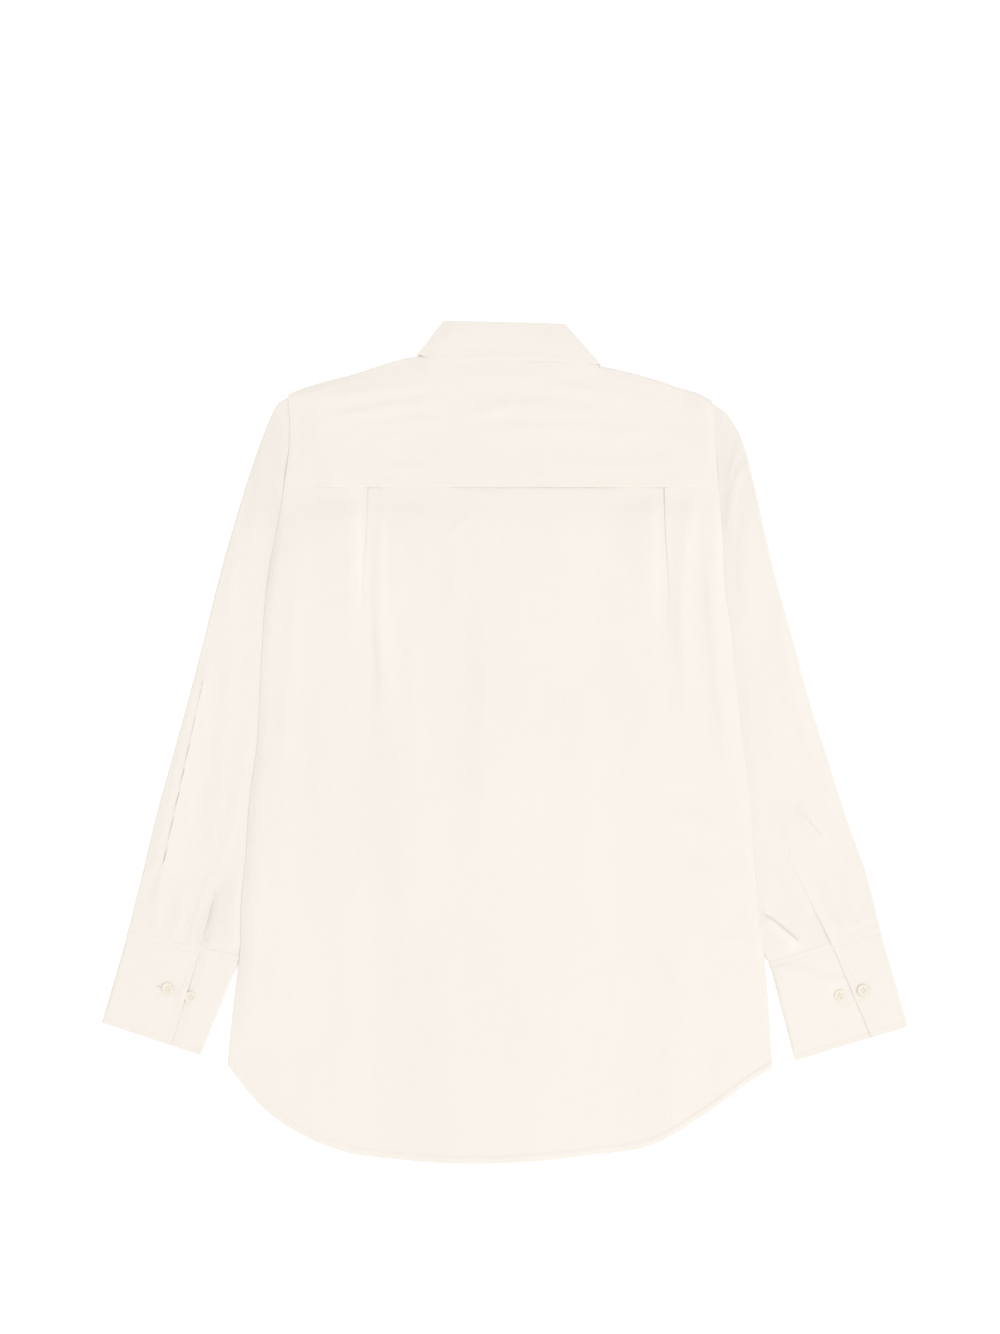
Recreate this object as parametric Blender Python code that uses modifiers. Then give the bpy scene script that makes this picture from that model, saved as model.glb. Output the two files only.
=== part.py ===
"""Cotton blouse with long sleeves, laid flat on its front with its back up.

Metres, +Z up. The blouse lies on the plane z = 0: +Y runs from the hem to the
collar, +X to the wearer's right. The origin is the middle of its footprint.
Lengths below are millimetres and are turned into metres when a mesh is made.
Every cloth piece is a sheet, a grid shaped by its own sizes, with a wall
raised on it by Solidify.
"""

import math

import bmesh
import bpy
import numpy as np

for old in list(bpy.data.objects):
    bpy.data.objects.remove(old, do_unlink=True)

MM = 0.001

# ------------------------------------------------------------ driving sizes
WALL = 1.0  # cloth wall, with its seams and pressed layers
GAP = 0.3  # between pieces sewn or lying together
LAYER_GAP = 0.5  # between the front and the back, where the two are shaped
SEAM_GAP = 0.8  # between a sleeve's curved end and the body's armhole

CENTRE_X = -4.3  # centre front and centre back
YOKE_SEAM_Y = 243.2
NECK_LEFT = (-81.3, 366.0)  # where the neckline meets the shoulder fold
NECK_RIGHT = (89.7, 357.0)
FRONT_NECK_Y = 294.0  # bottom of the front neckline
YOKE_FORWARD = 20.0  # how far the yoke comes over the shoulder to the front
FRONT_HEM_UP = 10.0  # the front hem is this much shorter than the back's

BAND_WIDTH = 28.0  # front button bands
BUTTON_WIDTH = 11.4
BUTTON_THICK = 2.0
CUFF_BUTTON_THICK = 1.4
BUTTON_SIDES = 16
STAND_BUTTON_Y = 308.0
FIRST_BUTTON_Y = 255.0
BUTTON_SPACING = 82.0
FRONT_BUTTONS = 7

STAND_TOP_Y = 322.0  # top of the collar stand at the centre front
STAND_LAP = 12.0  # each end of the stand goes this far past the centre
FALL_TOP_LEFT = (-58.4, 399.9)  # the collar's top fold at the back
FALL_TOP_RIGHT = (58.4, 397.1)
FALL_EDGE_Y = 361.5  # the fall's lower edge at the centre back
COLLAR_POINT_LEFT = (-52.0, 262.0)
COLLAR_POINT_RIGHT = (43.4, 262.0)
FALL_END = 9.0  # the fall starts this far from the centre front

SLEEVE_LIFT = 2.7  # the body lies this much higher over the tucked sleeves
BUTTONHOLE_SIDE_LIFT = 2.3  # and over the front buttons, for the upper band
BUTTON_SIDE_LIFT = 3.6  # and for the band below it
COLLAR_LIFT = 1.3  # and over the collar's front leaves
LIFT_FULL_Y, LIFT_NONE_Y = 240.0, 280.0
LIFT_FULL_LOW_Y, LIFT_NONE_LOW_Y = -212.0, -265.0
LIFT_MARGIN, LIFT_SLOPE = 24.0, 30.0

CUFF_UNDERLAP = 31.0
PLACKET_WIDTH = 12.5

# ------------------------------------------------------------------- tables
# The body's left and right edges: armhole above y = 154, side seam below.
BODY_COLUMNS = ("y", "left", "right")
BODY = (
    (327.0, -205.5, 197.1),
    (306.0, -203.8, 198.6),
    (277.0, -204.6, 200.4),
    (243.2, -209.1, 202.9),
    (215.0, -213.4, 205.4),
    (192.0, -218.0, 207.0),
    (154.0, -224.7, 208.5),
    (97.0, -229.4, 215.9),
    (45.0, -232.0, 221.3),
    (2.0, -234.2, 226.1),
    (-55.0, -241.8, 233.2),
    (-112.0, -245.6, 236.8),
    (-150.0, -249.4, 240.6),
    (-198.0, -250.8, 246.2),
    (-245.0, -256.6, 250.3),
    (-302.0, -262.7, 254.0),
)
# The back hem, a shirt-tail curve, from the left side seam to the right.
HEM_COLUMNS = ("x", "y")
HEM = (
    (-262.7, -306.8),
    (-232.3, -343.9),
    (-194.3, -371.4),
    (-156.3, -387.6),
    (-99.3, -396.1),
    (-13.8, -399.5),
    (71.7, -392.8),
    (147.7, -379.0),
    (185.7, -356.2),
    (242.7, -316.3),
    (254.0, -309.7),
)
# The shoulders as they lie, from the armhole to the neck.
SHOULDER_COLUMNS = ("x", "y")
SHOULDER = (
    (-211.4, 325.8),
    (-202.8, 331.6),
    (-188.6, 337.2),
    (-169.6, 342.9),
    (-145.8, 348.6),
    (-110.7, 360.1),
    (-93.6, 364.9),
    (-81.3, 366.3),
    (89.7, 357.3),
    (105.9, 354.3),
    (128.7, 348.6),
    (147.7, 342.9),
    (163.9, 337.2),
    (183.8, 331.6),
    (194.3, 325.8),
    (200.9, 320.1),
)
# Each sleeve from the armhole to the cuff: the two ends of its flattened rings.
# The underarm is folded in, so the first rings stop at the body's edge.
SLEEVE_COLUMNS = ("outer_x", "outer_y", "inner_x", "inner_y")
SLEEVE_LEFT = (
    (-205.7, 328.7, -207.5, 264.0),
    (-217.1, 318.3, -210.6, 248.5),
    (-230.4, 286.9, -212.2, 232.0),
    (-243.7, 248.9, -197.0, 196.0),
    (-255.1, 210.9, -169.0, 140.0),
    (-269.3, 161.5, -153.0, 72.0),
    (-285.5, 96.9, -161.0, 9.5),
    (-300.2, 39.9, -173.4, -32.3),
    (-315.9, -17.1, -186.7, -74.1),
    (-331.6, -74.1, -202.8, -115.9),
    (-343.9, -126.3, -224.7, -157.7),
    (-357.7, -180.5, -250.3, -204.2),
)
SLEEVE_RIGHT = (
    (198.0, 324.6, 202.2, 264.0),
    (212.8, 309.4, 204.6, 248.5),
    (225.6, 286.9, 205.2, 232.0),
    (236.1, 248.9, 188.5, 196.0),
    (244.6, 210.9, 160.0, 138.0),
    (256.0, 161.5, 143.5, 70.0),
    (274.1, 96.9, 151.5, 8.5),
    (289.3, 39.9, 163.9, -33.2),
    (307.3, -17.1, 178.1, -76.0),
    (325.4, -74.1, 196.2, -117.8),
    (343.9, -126.3, 223.7, -161.5),
    (356.7, -176.7, 251.3, -209.9),
)
# Each cuff's corners, and where its overlapping edge lies across it.
CUFF_COLUMNS = (
    "outer_top_x",
    "outer_top_y",
    "inner_top_x",
    "inner_top_y",
    "outer_end_x",
    "outer_end_y",
    "inner_end_x",
    "inner_end_y",
    "lap_top",
    "lap_end",
)
CUFF_LEFT = (-357.7, -180.5, -250.3, -204.2, -382.4, -266.0, -287.8, -297.3, 0.64, 0.69)
CUFF_RIGHT = (356.7, -176.7, 251.3, -209.9, 383.8, -269.6, 275.4, -302.5, 0.436, 0.325)
# The cuff buttons: where they are, and whether on the upper or the under layer.
CUFF_BUTTON_COLUMNS = ("side", "number", "x", "y", "layer")
CUFF_BUTTONS = (
    ("left", 1, -319.7, -233.7, "upper"),
    ("left", 2, -298.2, -242.0, "under"),
    ("right", 1, 340.4, -235.4, "upper"),
    ("right", 2, 318.7, -240.3, "under"),
)
# The sleeve plackets' free edges, from the cuff seam up to their tops.
PLACKET_COLUMNS = ("side", "low_x", "low_y", "top_x", "top_y")
PLACKETS = (
    ("left", -289.4, -195.0, -271.0, -126.5),
    ("right", 310.1, -190.4, 266.6, -105.6),
)
# Folds of the back that stand proud: their line, half width, height, and how
# much of the height is left at the far end.
FOLD_COLUMNS = ("x0", "y0", "x1", "y1", "half_width", "height", "left_at_end")
BACK_FOLDS = (
    (-141.0, 243.2, -137.0, 95.0, 13.0, 2.6, 0.55),  # left pleat, upper run
    (-137.0, 95.0, -141.0, -110.0, 17.0, 1.4, 0.2),  # and where it opens out
    (-112.0, 225.0, -108.0, -60.0, 15.0, 1.5, 0.3),  # the roll inside it
    (-186.0, 235.0, -170.0, 70.0, 16.0, 1.6, 0.1),  # beside the left armhole
    (143.0, 243.2, 146.0, 120.0, 12.0, 2.6, 0.4),  # right pleat
    (170.0, 243.2, 172.0, 60.0, 12.0, 1.8, 0.2),  # its second fold
    (-40.0, 215.0, -30.0, -40.0, 22.0, 0.9, 0.2),  # over the button band
    (-205.0, 60.0, -215.0, -250.0, 20.0, 1.0, 0.4),  # along the side seams
    (205.0, 20.0, 218.0, -250.0, 20.0, 1.0, 0.4),
)
SLEEVE_FOLDS = {
    "left": (
        (-300.0, 80.0, -330.0, -40.0, 10.0, 1.8, 0.8),  # long crease, outer side
        (-330.0, -40.0, -345.0, -125.0, 10.0, 1.5, 0.3),
        (-262.0, 60.0, -282.0, -90.0, 14.0, 1.2, 0.4),
    ),
    "right": (
        (262.0, 60.0, 300.0, -60.0, 14.0, 1.2, 0.6),
        (300.0, -60.0, 330.0, -140.0, 12.0, 1.4, 0.3),
        (228.0, 265.0, 216.0, 215.0, 9.0, 1.2, 0.3),  # drag from the shoulder
    ),
}

CREAM = (0.871, 0.832, 0.762, 1.0)
BUTTON_CREAM = (0.80, 0.74, 0.62, 1.0)


# ------------------------------------------------------------------ helpers
def column(table, columns, name):
    return np.array([row[columns.index(name)] for row in table], float)


def smooth_through(at, rows, values):
    """Cubic through the rows of a table, with the slopes of its neighbours."""
    rows, values = np.asarray(rows, float), np.asarray(values, float)
    slope = np.gradient(values, rows)
    k = int(np.clip(np.searchsorted(rows, at) - 1, 0, len(rows) - 2))
    h = rows[k + 1] - rows[k]
    t = (np.clip(at, rows[0], rows[-1]) - rows[k]) / h
    return (
        (2 * t**3 - 3 * t**2 + 1) * values[k]
        + (t**3 - 2 * t**2 + t) * h * slope[k]
        + (3 * t**2 - 2 * t**3) * values[k + 1]
        + (t**3 - t**2) * h * slope[k + 1]
    )


def ease_off(distance, width):
    """1 up to no distance, then smoothly down to 0 at the width."""
    t = min(max(distance / width, 0.0), 1.0)
    return 1.0 - t * t * (3.0 - 2.0 * t)


def blend(a, b, t):
    return a + (b - a) * t


def fold_height(folds, x, y):
    """The tallest of the folds at a point: round across, fading at both ends."""
    tallest = 0.0
    for x0, y0, x1, y1, half_width, height, left_at_end in folds:
        along_x, along_y = x1 - x0, y1 - y0
        length = math.hypot(along_x, along_y)
        t = ((x - x0) * along_x + (y - y0) * along_y) / length**2
        off = abs((x - x0) * along_y - (y - y0) * along_x) / length
        past = max(0.0, -t, t - 1.0) * length
        size = height * blend(1.0, left_at_end, min(max(t, 0.0), 1.0))
        size *= math.exp(-((off / half_width) ** 2)) * ease_off(past, 45.0)
        tallest = max(tallest, size)
    return tallest


def body_edge(side, y):
    rows = column(BODY, BODY_COLUMNS, "y")[::-1]
    return float(np.interp(y, rows, column(BODY, BODY_COLUMNS, side)[::-1]))


def hem_y(x):
    return smooth_through(
        x, column(HEM, HEM_COLUMNS, "x"), column(HEM, HEM_COLUMNS, "y")
    )


def shoulder_y(x):
    xs = column(SHOULDER, SHOULDER_COLUMNS, "x")
    return float(np.interp(x, xs, column(SHOULDER, SHOULDER_COLUMNS, "y")))


def sleeve_table(side):
    return SLEEVE_LEFT if side == "left" else SLEEVE_RIGHT


def tucked_reach(side, y):
    """How far in under the body the sleeve reaches at this height."""
    sign = 1.0 if side == "left" else -1.0
    table = sleeve_table(side)
    ends = [(row[0], row[1]) for row in table], [(row[2], row[3]) for row in table]
    lines = [(a, b) for a, b in zip(*ends, strict=True)]
    lines += list(zip(ends[1][:-1], ends[1][1:], strict=True))
    reach = -1e9
    for (xa, ya), (xb, yb) in lines:
        if min(ya, yb) - 1e-6 <= y <= max(ya, yb) + 1e-6 and abs(ya - yb) > 1e-6:
            reach = max(reach, sign * blend(xa, xb, (y - ya) / (yb - ya)))
    return sign * reach if reach > -1e8 else None


def sleeve_lift(x, y):
    """How much of SLEEVE_LIFT the body takes at a point."""
    side = "left" if x < CENTRE_X else "right"
    sign = 1.0 if side == "left" else -1.0
    lowest = sleeve_table(side)[-1][3]
    reach = tucked_reach(side, min(max(y, lowest), LIFT_NONE_Y))
    if reach is None:
        return 0.0
    share = ease_off(sign * (x - reach) - LIFT_MARGIN, LIFT_SLOPE)
    share *= ease_off(y - LIFT_FULL_Y, LIFT_NONE_Y - LIFT_FULL_Y)
    return share * ease_off(LIFT_FULL_LOW_Y - y, LIFT_FULL_LOW_Y - LIFT_NONE_LOW_Y)


def band_lift(x, y):
    """1 over the front button bands, down to 0 beside them and at the collar."""
    across = ease_off(abs(x - CENTRE_X) - BAND_WIDTH / 2 - 0.5, 26.0)
    return across * ease_off(y - STAND_TOP_Y - 2.0, 36.0)


def collar_lift(x, y):
    """1 over the collar's front leaves, down to 0 well away from them."""
    beside = max(NECK_LEFT[0] - 11.0 - x, x - NECK_RIGHT[0] - 11.0, 0.0)
    below = max(COLLAR_POINT_LEFT[1] - 4.0 - y, 0.0)
    return ease_off(math.hypot(beside, below), 80.0)


def front_z(side, x, y):
    band = BUTTON_SIDE_LIFT if side == "left" else BUTTONHOLE_SIDE_LIFT
    lift = max(
        SLEEVE_LIFT * sleeve_lift(x, y),
        band * band_lift(x, y),
        COLLAR_LIFT * collar_lift(x, y),
    )
    return WALL / 2 + lift


def back_z(x, y, folds=True):
    z = front_z("left", x, y) + WALL + LAYER_GAP
    if folds:
        # The folds fade where the yoke meets the collar.
        z += fold_height(BACK_FOLDS, x, y) * ease_off(y - 290.0, 40.0)
    return z


def neckline(x, left, right, bottom_y):
    """The front neckline's height: a U from one neck point to the other."""
    end = left if x < CENTRE_X else right
    c = min((x - CENTRE_X) / (end[0] - CENTRE_X), 1.0)
    return bottom_y + (end[1] - bottom_y) * (1.0 - math.sqrt(1.0 - c * c))


def neck_back_y(x):
    t = (x - NECK_LEFT[0]) / (NECK_RIGHT[0] - NECK_LEFT[0])
    return blend(NECK_LEFT[1], NECK_RIGHT[1], t)


# ------------------------------------------------------- objects and sheets
collection = bpy.data.collections.new("cotton_blouse")
bpy.context.scene.collection.children.link(collection)


def material(name, colour, roughness):
    made = bpy.data.materials.new(name)
    made.use_nodes = True
    shader = made.node_tree.nodes["Principled BSDF"]
    shader.inputs["Base Color"].default_value = colour
    shader.inputs["Roughness"].default_value = roughness
    shader.inputs["Metallic"].default_value = 0.0
    return made


def finish(name, mesh_build, colour, roughness, wall=None):
    mesh = bpy.data.meshes.new(name)
    mesh_build.to_mesh(mesh)
    mesh_build.free()
    piece = bpy.data.objects.new(name, mesh)
    collection.objects.link(piece)
    piece.data.materials.append(material(name + "_finish", colour, roughness))
    if wall:
        solid = piece.modifiers.new("wall", "SOLIDIFY")
        solid.thickness = wall * MM
        solid.offset = 0.0
        solid.use_even_offset = False
        solid.use_rim = True
    return piece


def sheet(name, points, closed_across=False, keep=None):
    """A grid through points[row][column], or a tube where it closes across.

    keep(row, column) says which of the grid's cells are cloth.
    """
    rows, columns = len(points), len(points[0])
    build = bmesh.new()
    bmesh.ops.create_grid(
        build, x_segments=columns - 1, y_segments=rows - 1, size=1.0
    )
    corners = {}
    for vert in build.verts:
        j = round((vert.co.x + 1.0) / 2.0 * (columns - 1))
        i = round((vert.co.y + 1.0) / 2.0 * (rows - 1))
        corners[vert] = (i, j)
    if keep:
        lost = [
            face
            for face in build.faces
            if not keep(
                min(corners[v][0] for v in face.verts),
                min(corners[v][1] for v in face.verts),
            )
        ]
        bmesh.ops.delete(build, geom=lost, context="FACES")
    for vert in build.verts:
        i, j = corners[vert]
        vert.co = [c * MM for c in points[i][j]]
    if closed_across:
        bmesh.ops.remove_doubles(build, verts=build.verts, dist=1e-6)
    bmesh.ops.recalc_face_normals(build, faces=build.faces)
    return finish(name, build, CREAM, 0.85, WALL)


def button(name, x, y, bottom, thickness):
    build = bmesh.new()
    bmesh.ops.create_cone(
        build,
        cap_ends=True,
        segments=BUTTON_SIDES,
        radius1=BUTTON_WIDTH / 2 * MM,
        radius2=BUTTON_WIDTH / 2 * MM,
        depth=thickness * MM,
    )
    piece = finish(name, build, BUTTON_CREAM, 0.35)
    piece.location = (x * MM, y * MM, (bottom + thickness / 2) * MM)
    return piece


# --------------------------------------------------------------------- body
# Columns of the body, out from the centre. The fixed ones follow the bands and
# the neck, and the rest share what is left of each side.
FIXED_OUT = {
    "left": (14.3, 22.0, 31.0, 40.3, 60.0, 71.0, 77.0),
    "right": (14.3, 22.0, 31.0, 40.3, 60.0, 78.0, 88.0, 94.0),
}
SHARED_OUT = {"left": 8, "right": 7}
BODY_ROWS_Y = (-350.0, -318.0, -280.0, -245.0, -212.0, -170.0, -115.0, -55.0)
BODY_ROWS_Y += (5.0, 60.0, 105.0, 145.0, 180.0, 206.0, 226.0, YOKE_SEAM_Y - GAP)


def across(side, y):
    """The body's columns on one side at a height, from the centre out."""
    fixed = FIXED_OUT[side]
    half = abs(body_edge(side, y) - CENTRE_X)
    count = SHARED_OUT[side]
    out = [blend(fixed[-1], half, k / count) for k in range(1, count + 1)]
    sign = -1.0 if side == "left" else 1.0
    return [CENTRE_X + sign * a for a in list(fixed) + out]


def body_column_xy(side, k, y):
    return across(side, y)[k], y


def body_levels(side, k, top_y, hem_up=0.0):
    """(x, y) down one column of the body, from the hem to the top."""
    low = BODY_ROWS_Y[0]
    high = BODY_ROWS_Y[-1]
    foot = across(side, -330.0)[k] if k is not None else CENTRE_X
    hem = hem_y(foot) + hem_up
    points = []
    for level in BODY_ROWS_Y:
        t = (level - low) / (high - low)
        # Rows start along the hem and are level by the time they reach the chest.
        y = blend(hem, high, t) if t < 0.5 else level
        if 0.0 <= t < 0.5:
            y = blend(y, level, ease_off(0.5 - t, 0.5))
        x = CENTRE_X if k is None else across(side, y)[k]
        points.append((x, min(y, top_y)))
    return points


def body_columns():
    left = [("left", k) for k in range(len(across("left", 0.0)))][::-1]
    right = [("right", k) for k in range(len(across("right", 0.0)))]
    return left + [("left", None)] + right


columns = [body_levels(side, k, YOKE_SEAM_Y - GAP) for side, k in body_columns()]
back = [
    [(x, y, back_z(x, y)) for x, y in (levels[i] for levels in columns)]
    for i in range(len(BODY_ROWS_Y))
]
sheet("back_panel", back)

# --------------------------------------------------------------------- yoke
# Shares of the way from the yoke seam up to the shoulder fold or the neckline.
YOKE_SHARES = (0.0, 0.22, 0.45, 0.63, 0.76, 0.88, 1.0)
YOKE_ROWS = len(YOKE_SHARES) - 1
WRAP_STEPS = 3  # round the shoulder fold
FLAP_ROWS = 2  # down the front as far as the front seam


def yoke_column(side, k):
    """Points up the yoke, over the shoulder and down to the front seam."""

    def x_at(y):
        return CENTRE_X if k is None else across(side, y)[k]

    name = side if k is not None else "left"
    over_neck = k is None or k < len(FIXED_OUT[side])
    corner = k is not None and k == len(FIXED_OUT[side]) - 1
    x_top = x_at(366.0)
    if over_neck and not corner:
        top = neck_back_y(x_top)
    else:
        top = shoulder_y(x_top)
        high = back_z(x_top, top - 2.0)
        low = front_z(name, x_top, top - 2.0)
        radius = (high - low) / 2
        top -= radius + WALL / 2
    points = []
    for share in YOKE_SHARES:
        y = blend(YOKE_SEAM_Y, top, share)
        points.append((x_at(y), y, back_z(x_at(y), y)))
    if over_neck and not corner:
        return points + [points[-1]] * (WRAP_STEPS + FLAP_ROWS), None
    x, y, high = points[-1]
    low = front_z(name, x, y)
    radius = (high - low) / 2
    for step in range(1, WRAP_STEPS + 1):
        angle = math.pi * step / WRAP_STEPS
        points.append(
            (x, y + radius * math.sin(angle), low + radius * (1 + math.cos(angle)))
        )
    seam = y - YOKE_FORWARD
    for step in range(1, FLAP_ROWS + 1):
        flap_y = blend(y, seam, step / FLAP_ROWS)
        points.append((x_at(flap_y), flap_y, front_z(name, x_at(flap_y), flap_y)))
    return points, seam


order = body_columns()
yoke_columns = [yoke_column(side, k) for side, k in order]
seam_at = {key: seam for key, (_, seam) in zip(order, yoke_columns, strict=True)}
yoke_rows = [
    [points[i] for points, _ in yoke_columns]
    for i in range(YOKE_ROWS + 1 + WRAP_STEPS + FLAP_ROWS)
]
first_neck = order.index(("left", len(FIXED_OUT["left"]) - 1))
last_neck = order.index(("right", len(FIXED_OUT["right"]) - 1))
sheet(
    "back_yoke",
    yoke_rows,
    keep=lambda i, j: i < YOKE_ROWS or j < first_neck or j >= last_neck,
)

# ------------------------------------------------------------------- fronts
UPPER_ROWS = 4  # above the yoke seam's height, up to the shoulder or neck


def front_column(side, k):
    x_top = across(side, 320.0)[k]
    seam = seam_at[(side, k)]
    left_end, right_end = (NECK_LEFT[0] + 0.3, NECK_LEFT[1]), (
        NECK_RIGHT[0] - 0.3,
        NECK_RIGHT[1],
    )
    if seam is None:
        top = neckline(x_top, left_end, right_end, FRONT_NECK_Y) - GAP
    else:
        top = seam - GAP
    points = body_levels(side, k, 1e9, FRONT_HEM_UP)
    start = points[-1][1]
    for step in range(1, UPPER_ROWS + 1):
        y = blend(start, top, step / UPPER_ROWS)
        points.append((across(side, y)[k], y))
    return [(x, y, front_z(side, x, y)) for x, y in points]


for side in ("left", "right"):
    made = [front_column(side, k) for k in range(len(across(side, 0.0)))]
    if side == "left":
        made = made[::-1]
    rows = [[points[i] for points in made] for i in range(len(made[0]))]
    sheet("front_" + side, rows)

# The button bands lie on each other at the centre front. The buttonhole band
# of the right front is outside, next to the buttons.
front_hem = hem_y(CENTRE_X) + FRONT_HEM_UP + 0.6
band_top = FRONT_NECK_Y - GAP
for side, lift in (("right", BUTTONHOLE_SIDE_LIFT), ("left", BUTTON_SIDE_LIFT)):
    rows = [
        [
            (CENTRE_X + s * BAND_WIDTH / 2, blend(front_hem, band_top, i / 6), WALL / 2 + lift)
            for s in (-1.0, 0.0, 1.0)
        ]
        for i in range(7)
    ]
    sheet("button_band_" + side, rows)

button("button_collar", CENTRE_X, STAND_BUTTON_Y, 0.0, BUTTON_THICK)
for n in range(FRONT_BUTTONS):
    button(
        f"button_front_{n + 1}",
        CENTRE_X,
        FIRST_BUTTON_Y - n * BUTTON_SPACING,
        0.0,
        BUTTON_THICK,
    )

# ------------------------------------------------------------------- collar
STAND_SIDE = {
    "left": ((-78.4, 367.4), (-55.6, 394.6)),
    "right": ((86.8, 358.7), (54.0, 391.6)),
}
STAND_BACK_Z = WALL / 2 + COLLAR_LIFT + WALL + LAYER_GAP
FALL_BACK_Z = STAND_BACK_Z + WALL + GAP
SIDE_STEPS = 4


def side_fold(low_edge, high_edge, sign, z_from, z_to, columns_kept=2):
    """Columns round a side fold, from the height z_from to z_to."""
    radius = abs(z_to - z_from) / 2
    middle = (z_to + z_from) / 2
    made = []
    for step in range(SIDE_STEPS + 1):
        angle = math.pi * step / SIDE_STEPS
        push = sign * radius * math.sin(angle)
        z = middle + (z_from - middle) * math.cos(angle)
        made.append([(p[0] + push, p[1], z) for p in (low_edge, high_edge)])
    return made


def stand_front(side):
    """Columns of the stand from past the centre front to its side fold."""
    low_side, high_side = STAND_SIDE[side]
    sign = -1.0 if side == "left" else 1.0
    made = []
    for x in (CENTRE_X - sign * STAND_LAP, CENTRE_X):
        z = front_z(side, x, 300.0)
        made.append([(x, FRONT_NECK_Y + 0.0, z), (x, STAND_TOP_Y, z)])
    for k, out in enumerate(FIXED_OUT[side][:-1]):
        x = CENTRE_X + sign * out
        c = (x - CENTRE_X) / (low_side[0] - CENTRE_X)
        low_y = neckline(
            x,
            (NECK_LEFT[0] + 0.3, NECK_LEFT[1]),
            (NECK_RIGHT[0] - 0.3, NECK_RIGHT[1]),
            FRONT_NECK_Y,
        )
        high_x = CENTRE_X + (high_side[0] - CENTRE_X) * c
        high_y = neckline(high_x, high_side, high_side, STAND_TOP_Y)
        made.append(
            [
                (x, low_y, front_z(side, x, low_y)),
                (high_x, high_y, front_z(side, high_x, high_y)),
            ]
        )
    return made


stand = stand_front("left")
stand += side_fold(*STAND_SIDE["left"], -1.0, WALL / 2 + COLLAR_LIFT, STAND_BACK_Z)
for t in (0.12, 0.25, 0.4, 0.5, 0.6, 0.75, 0.88):
    low = [blend(a, b, t) for a, b in zip(STAND_SIDE["left"][0], STAND_SIDE["right"][0])]
    high = [blend(a, b, t) for a, b in zip(STAND_SIDE["left"][1], STAND_SIDE["right"][1])]
    stand.append([(low[0], neck_back_y(low[0]) + GAP + 0.4, STAND_BACK_Z), (*high, STAND_BACK_Z)])
stand += side_fold(*STAND_SIDE["right"], 1.0, STAND_BACK_Z, WALL / 2 + COLLAR_LIFT)
stand += stand_front("right")[::-1]
sheet("collar_stand", [[edge[i] for edge in stand] for i in range(2)])

FALL_SIDE = {
    "left": ((-81.0, 367.6), (-55.7, 399.8)),
    "right": ((89.6, 358.6), (55.7, 397.0)),
}
LEAF_COLUMNS = 5


def fall_front(side):
    """Columns of a front leaf from its pointed end to the side fold."""
    low_side, high_side = FALL_SIDE[side]
    sign = -1.0 if side == "left" else 1.0
    point = COLLAR_POINT_LEFT if side == "left" else COLLAR_POINT_RIGHT
    made = []
    for n in range(LEAF_COLUMNS):
        t = n / LEAF_COLUMNS
        c = blend(FALL_END, abs(high_side[0] - CENTRE_X), t) / abs(high_side[0] - CENTRE_X)
        high_x = CENTRE_X + (high_side[0] - CENTRE_X) * c
        high = (high_x, neckline(high_x, high_side, high_side, STAND_TOP_Y - 2.0))
        bow = 5.0 * math.sin(math.pi * t)
        low = (
            blend(point[0], low_side[0], t) + sign * bow,
            blend(point[1], low_side[1], t),
        )
        made.append([(*low, WALL / 2), (*high, WALL / 2)])
    return made


fall = fall_front("left")
fall += side_fold(*FALL_SIDE["left"], -1.0, WALL / 2, FALL_BACK_Z)
for t in (0.12, 0.25, 0.4, 0.5, 0.6, 0.75, 0.88):
    low = [blend(a, b, t) for a, b in zip(FALL_SIDE["left"][0], FALL_SIDE["right"][0])]
    high = [blend(a, b, t) for a, b in zip(FALL_SIDE["left"][1], FALL_SIDE["right"][1])]
    low[1] -= (low[1] - FALL_EDGE_Y) * min(1.0, 8.0 * min(t, 1 - t)) * (1 if low[1] > FALL_EDGE_Y else 0)
    fall.append([(*low, FALL_BACK_Z), (*high, FALL_BACK_Z)])
fall += side_fold(*FALL_SIDE["right"], 1.0, FALL_BACK_Z, WALL / 2)
fall += fall_front("right")[::-1]
middle = [[blend(a, b, 0.5) for a, b in zip(*edge)] for edge in fall]
sheet(
    "collar_fall",
    [[edge[0] for edge in fall], middle, [edge[1] for edge in fall]],
)

# ------------------------------------------------------------------ sleeves
RING_STEPS = (0.0, 1.0, 2.0, 3.0, 4.0, 5.0, 6.0, 7.0, 8.0, 9.0, 10.0, 11.0)
TOP_SHARES = (0.0, 0.06, 0.14, 0.24, 0.38, 0.55, 0.72, 0.87, 1.0)
UNDER_SHARES = (1.0, 0.75, 0.5, 0.25, 0.0)
LAYER = WALL + GAP  # from the middle of one wall to the middle of the next
BOW_AT = (0.0, 1.0, 2.0, 3.0, 4.0, 6.0)  # how far the rings curve in, by row
BOW = (0.0, 9.0, 16.0, 16.0, 10.0, 0.0)


def sleeve_ends(side, at):
    table = sleeve_table(side)
    rows = range(len(table))
    return [
        smooth_through(at, rows, column(table, SLEEVE_COLUMNS, name))
        for name in SLEEVE_COLUMNS
    ]


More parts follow.
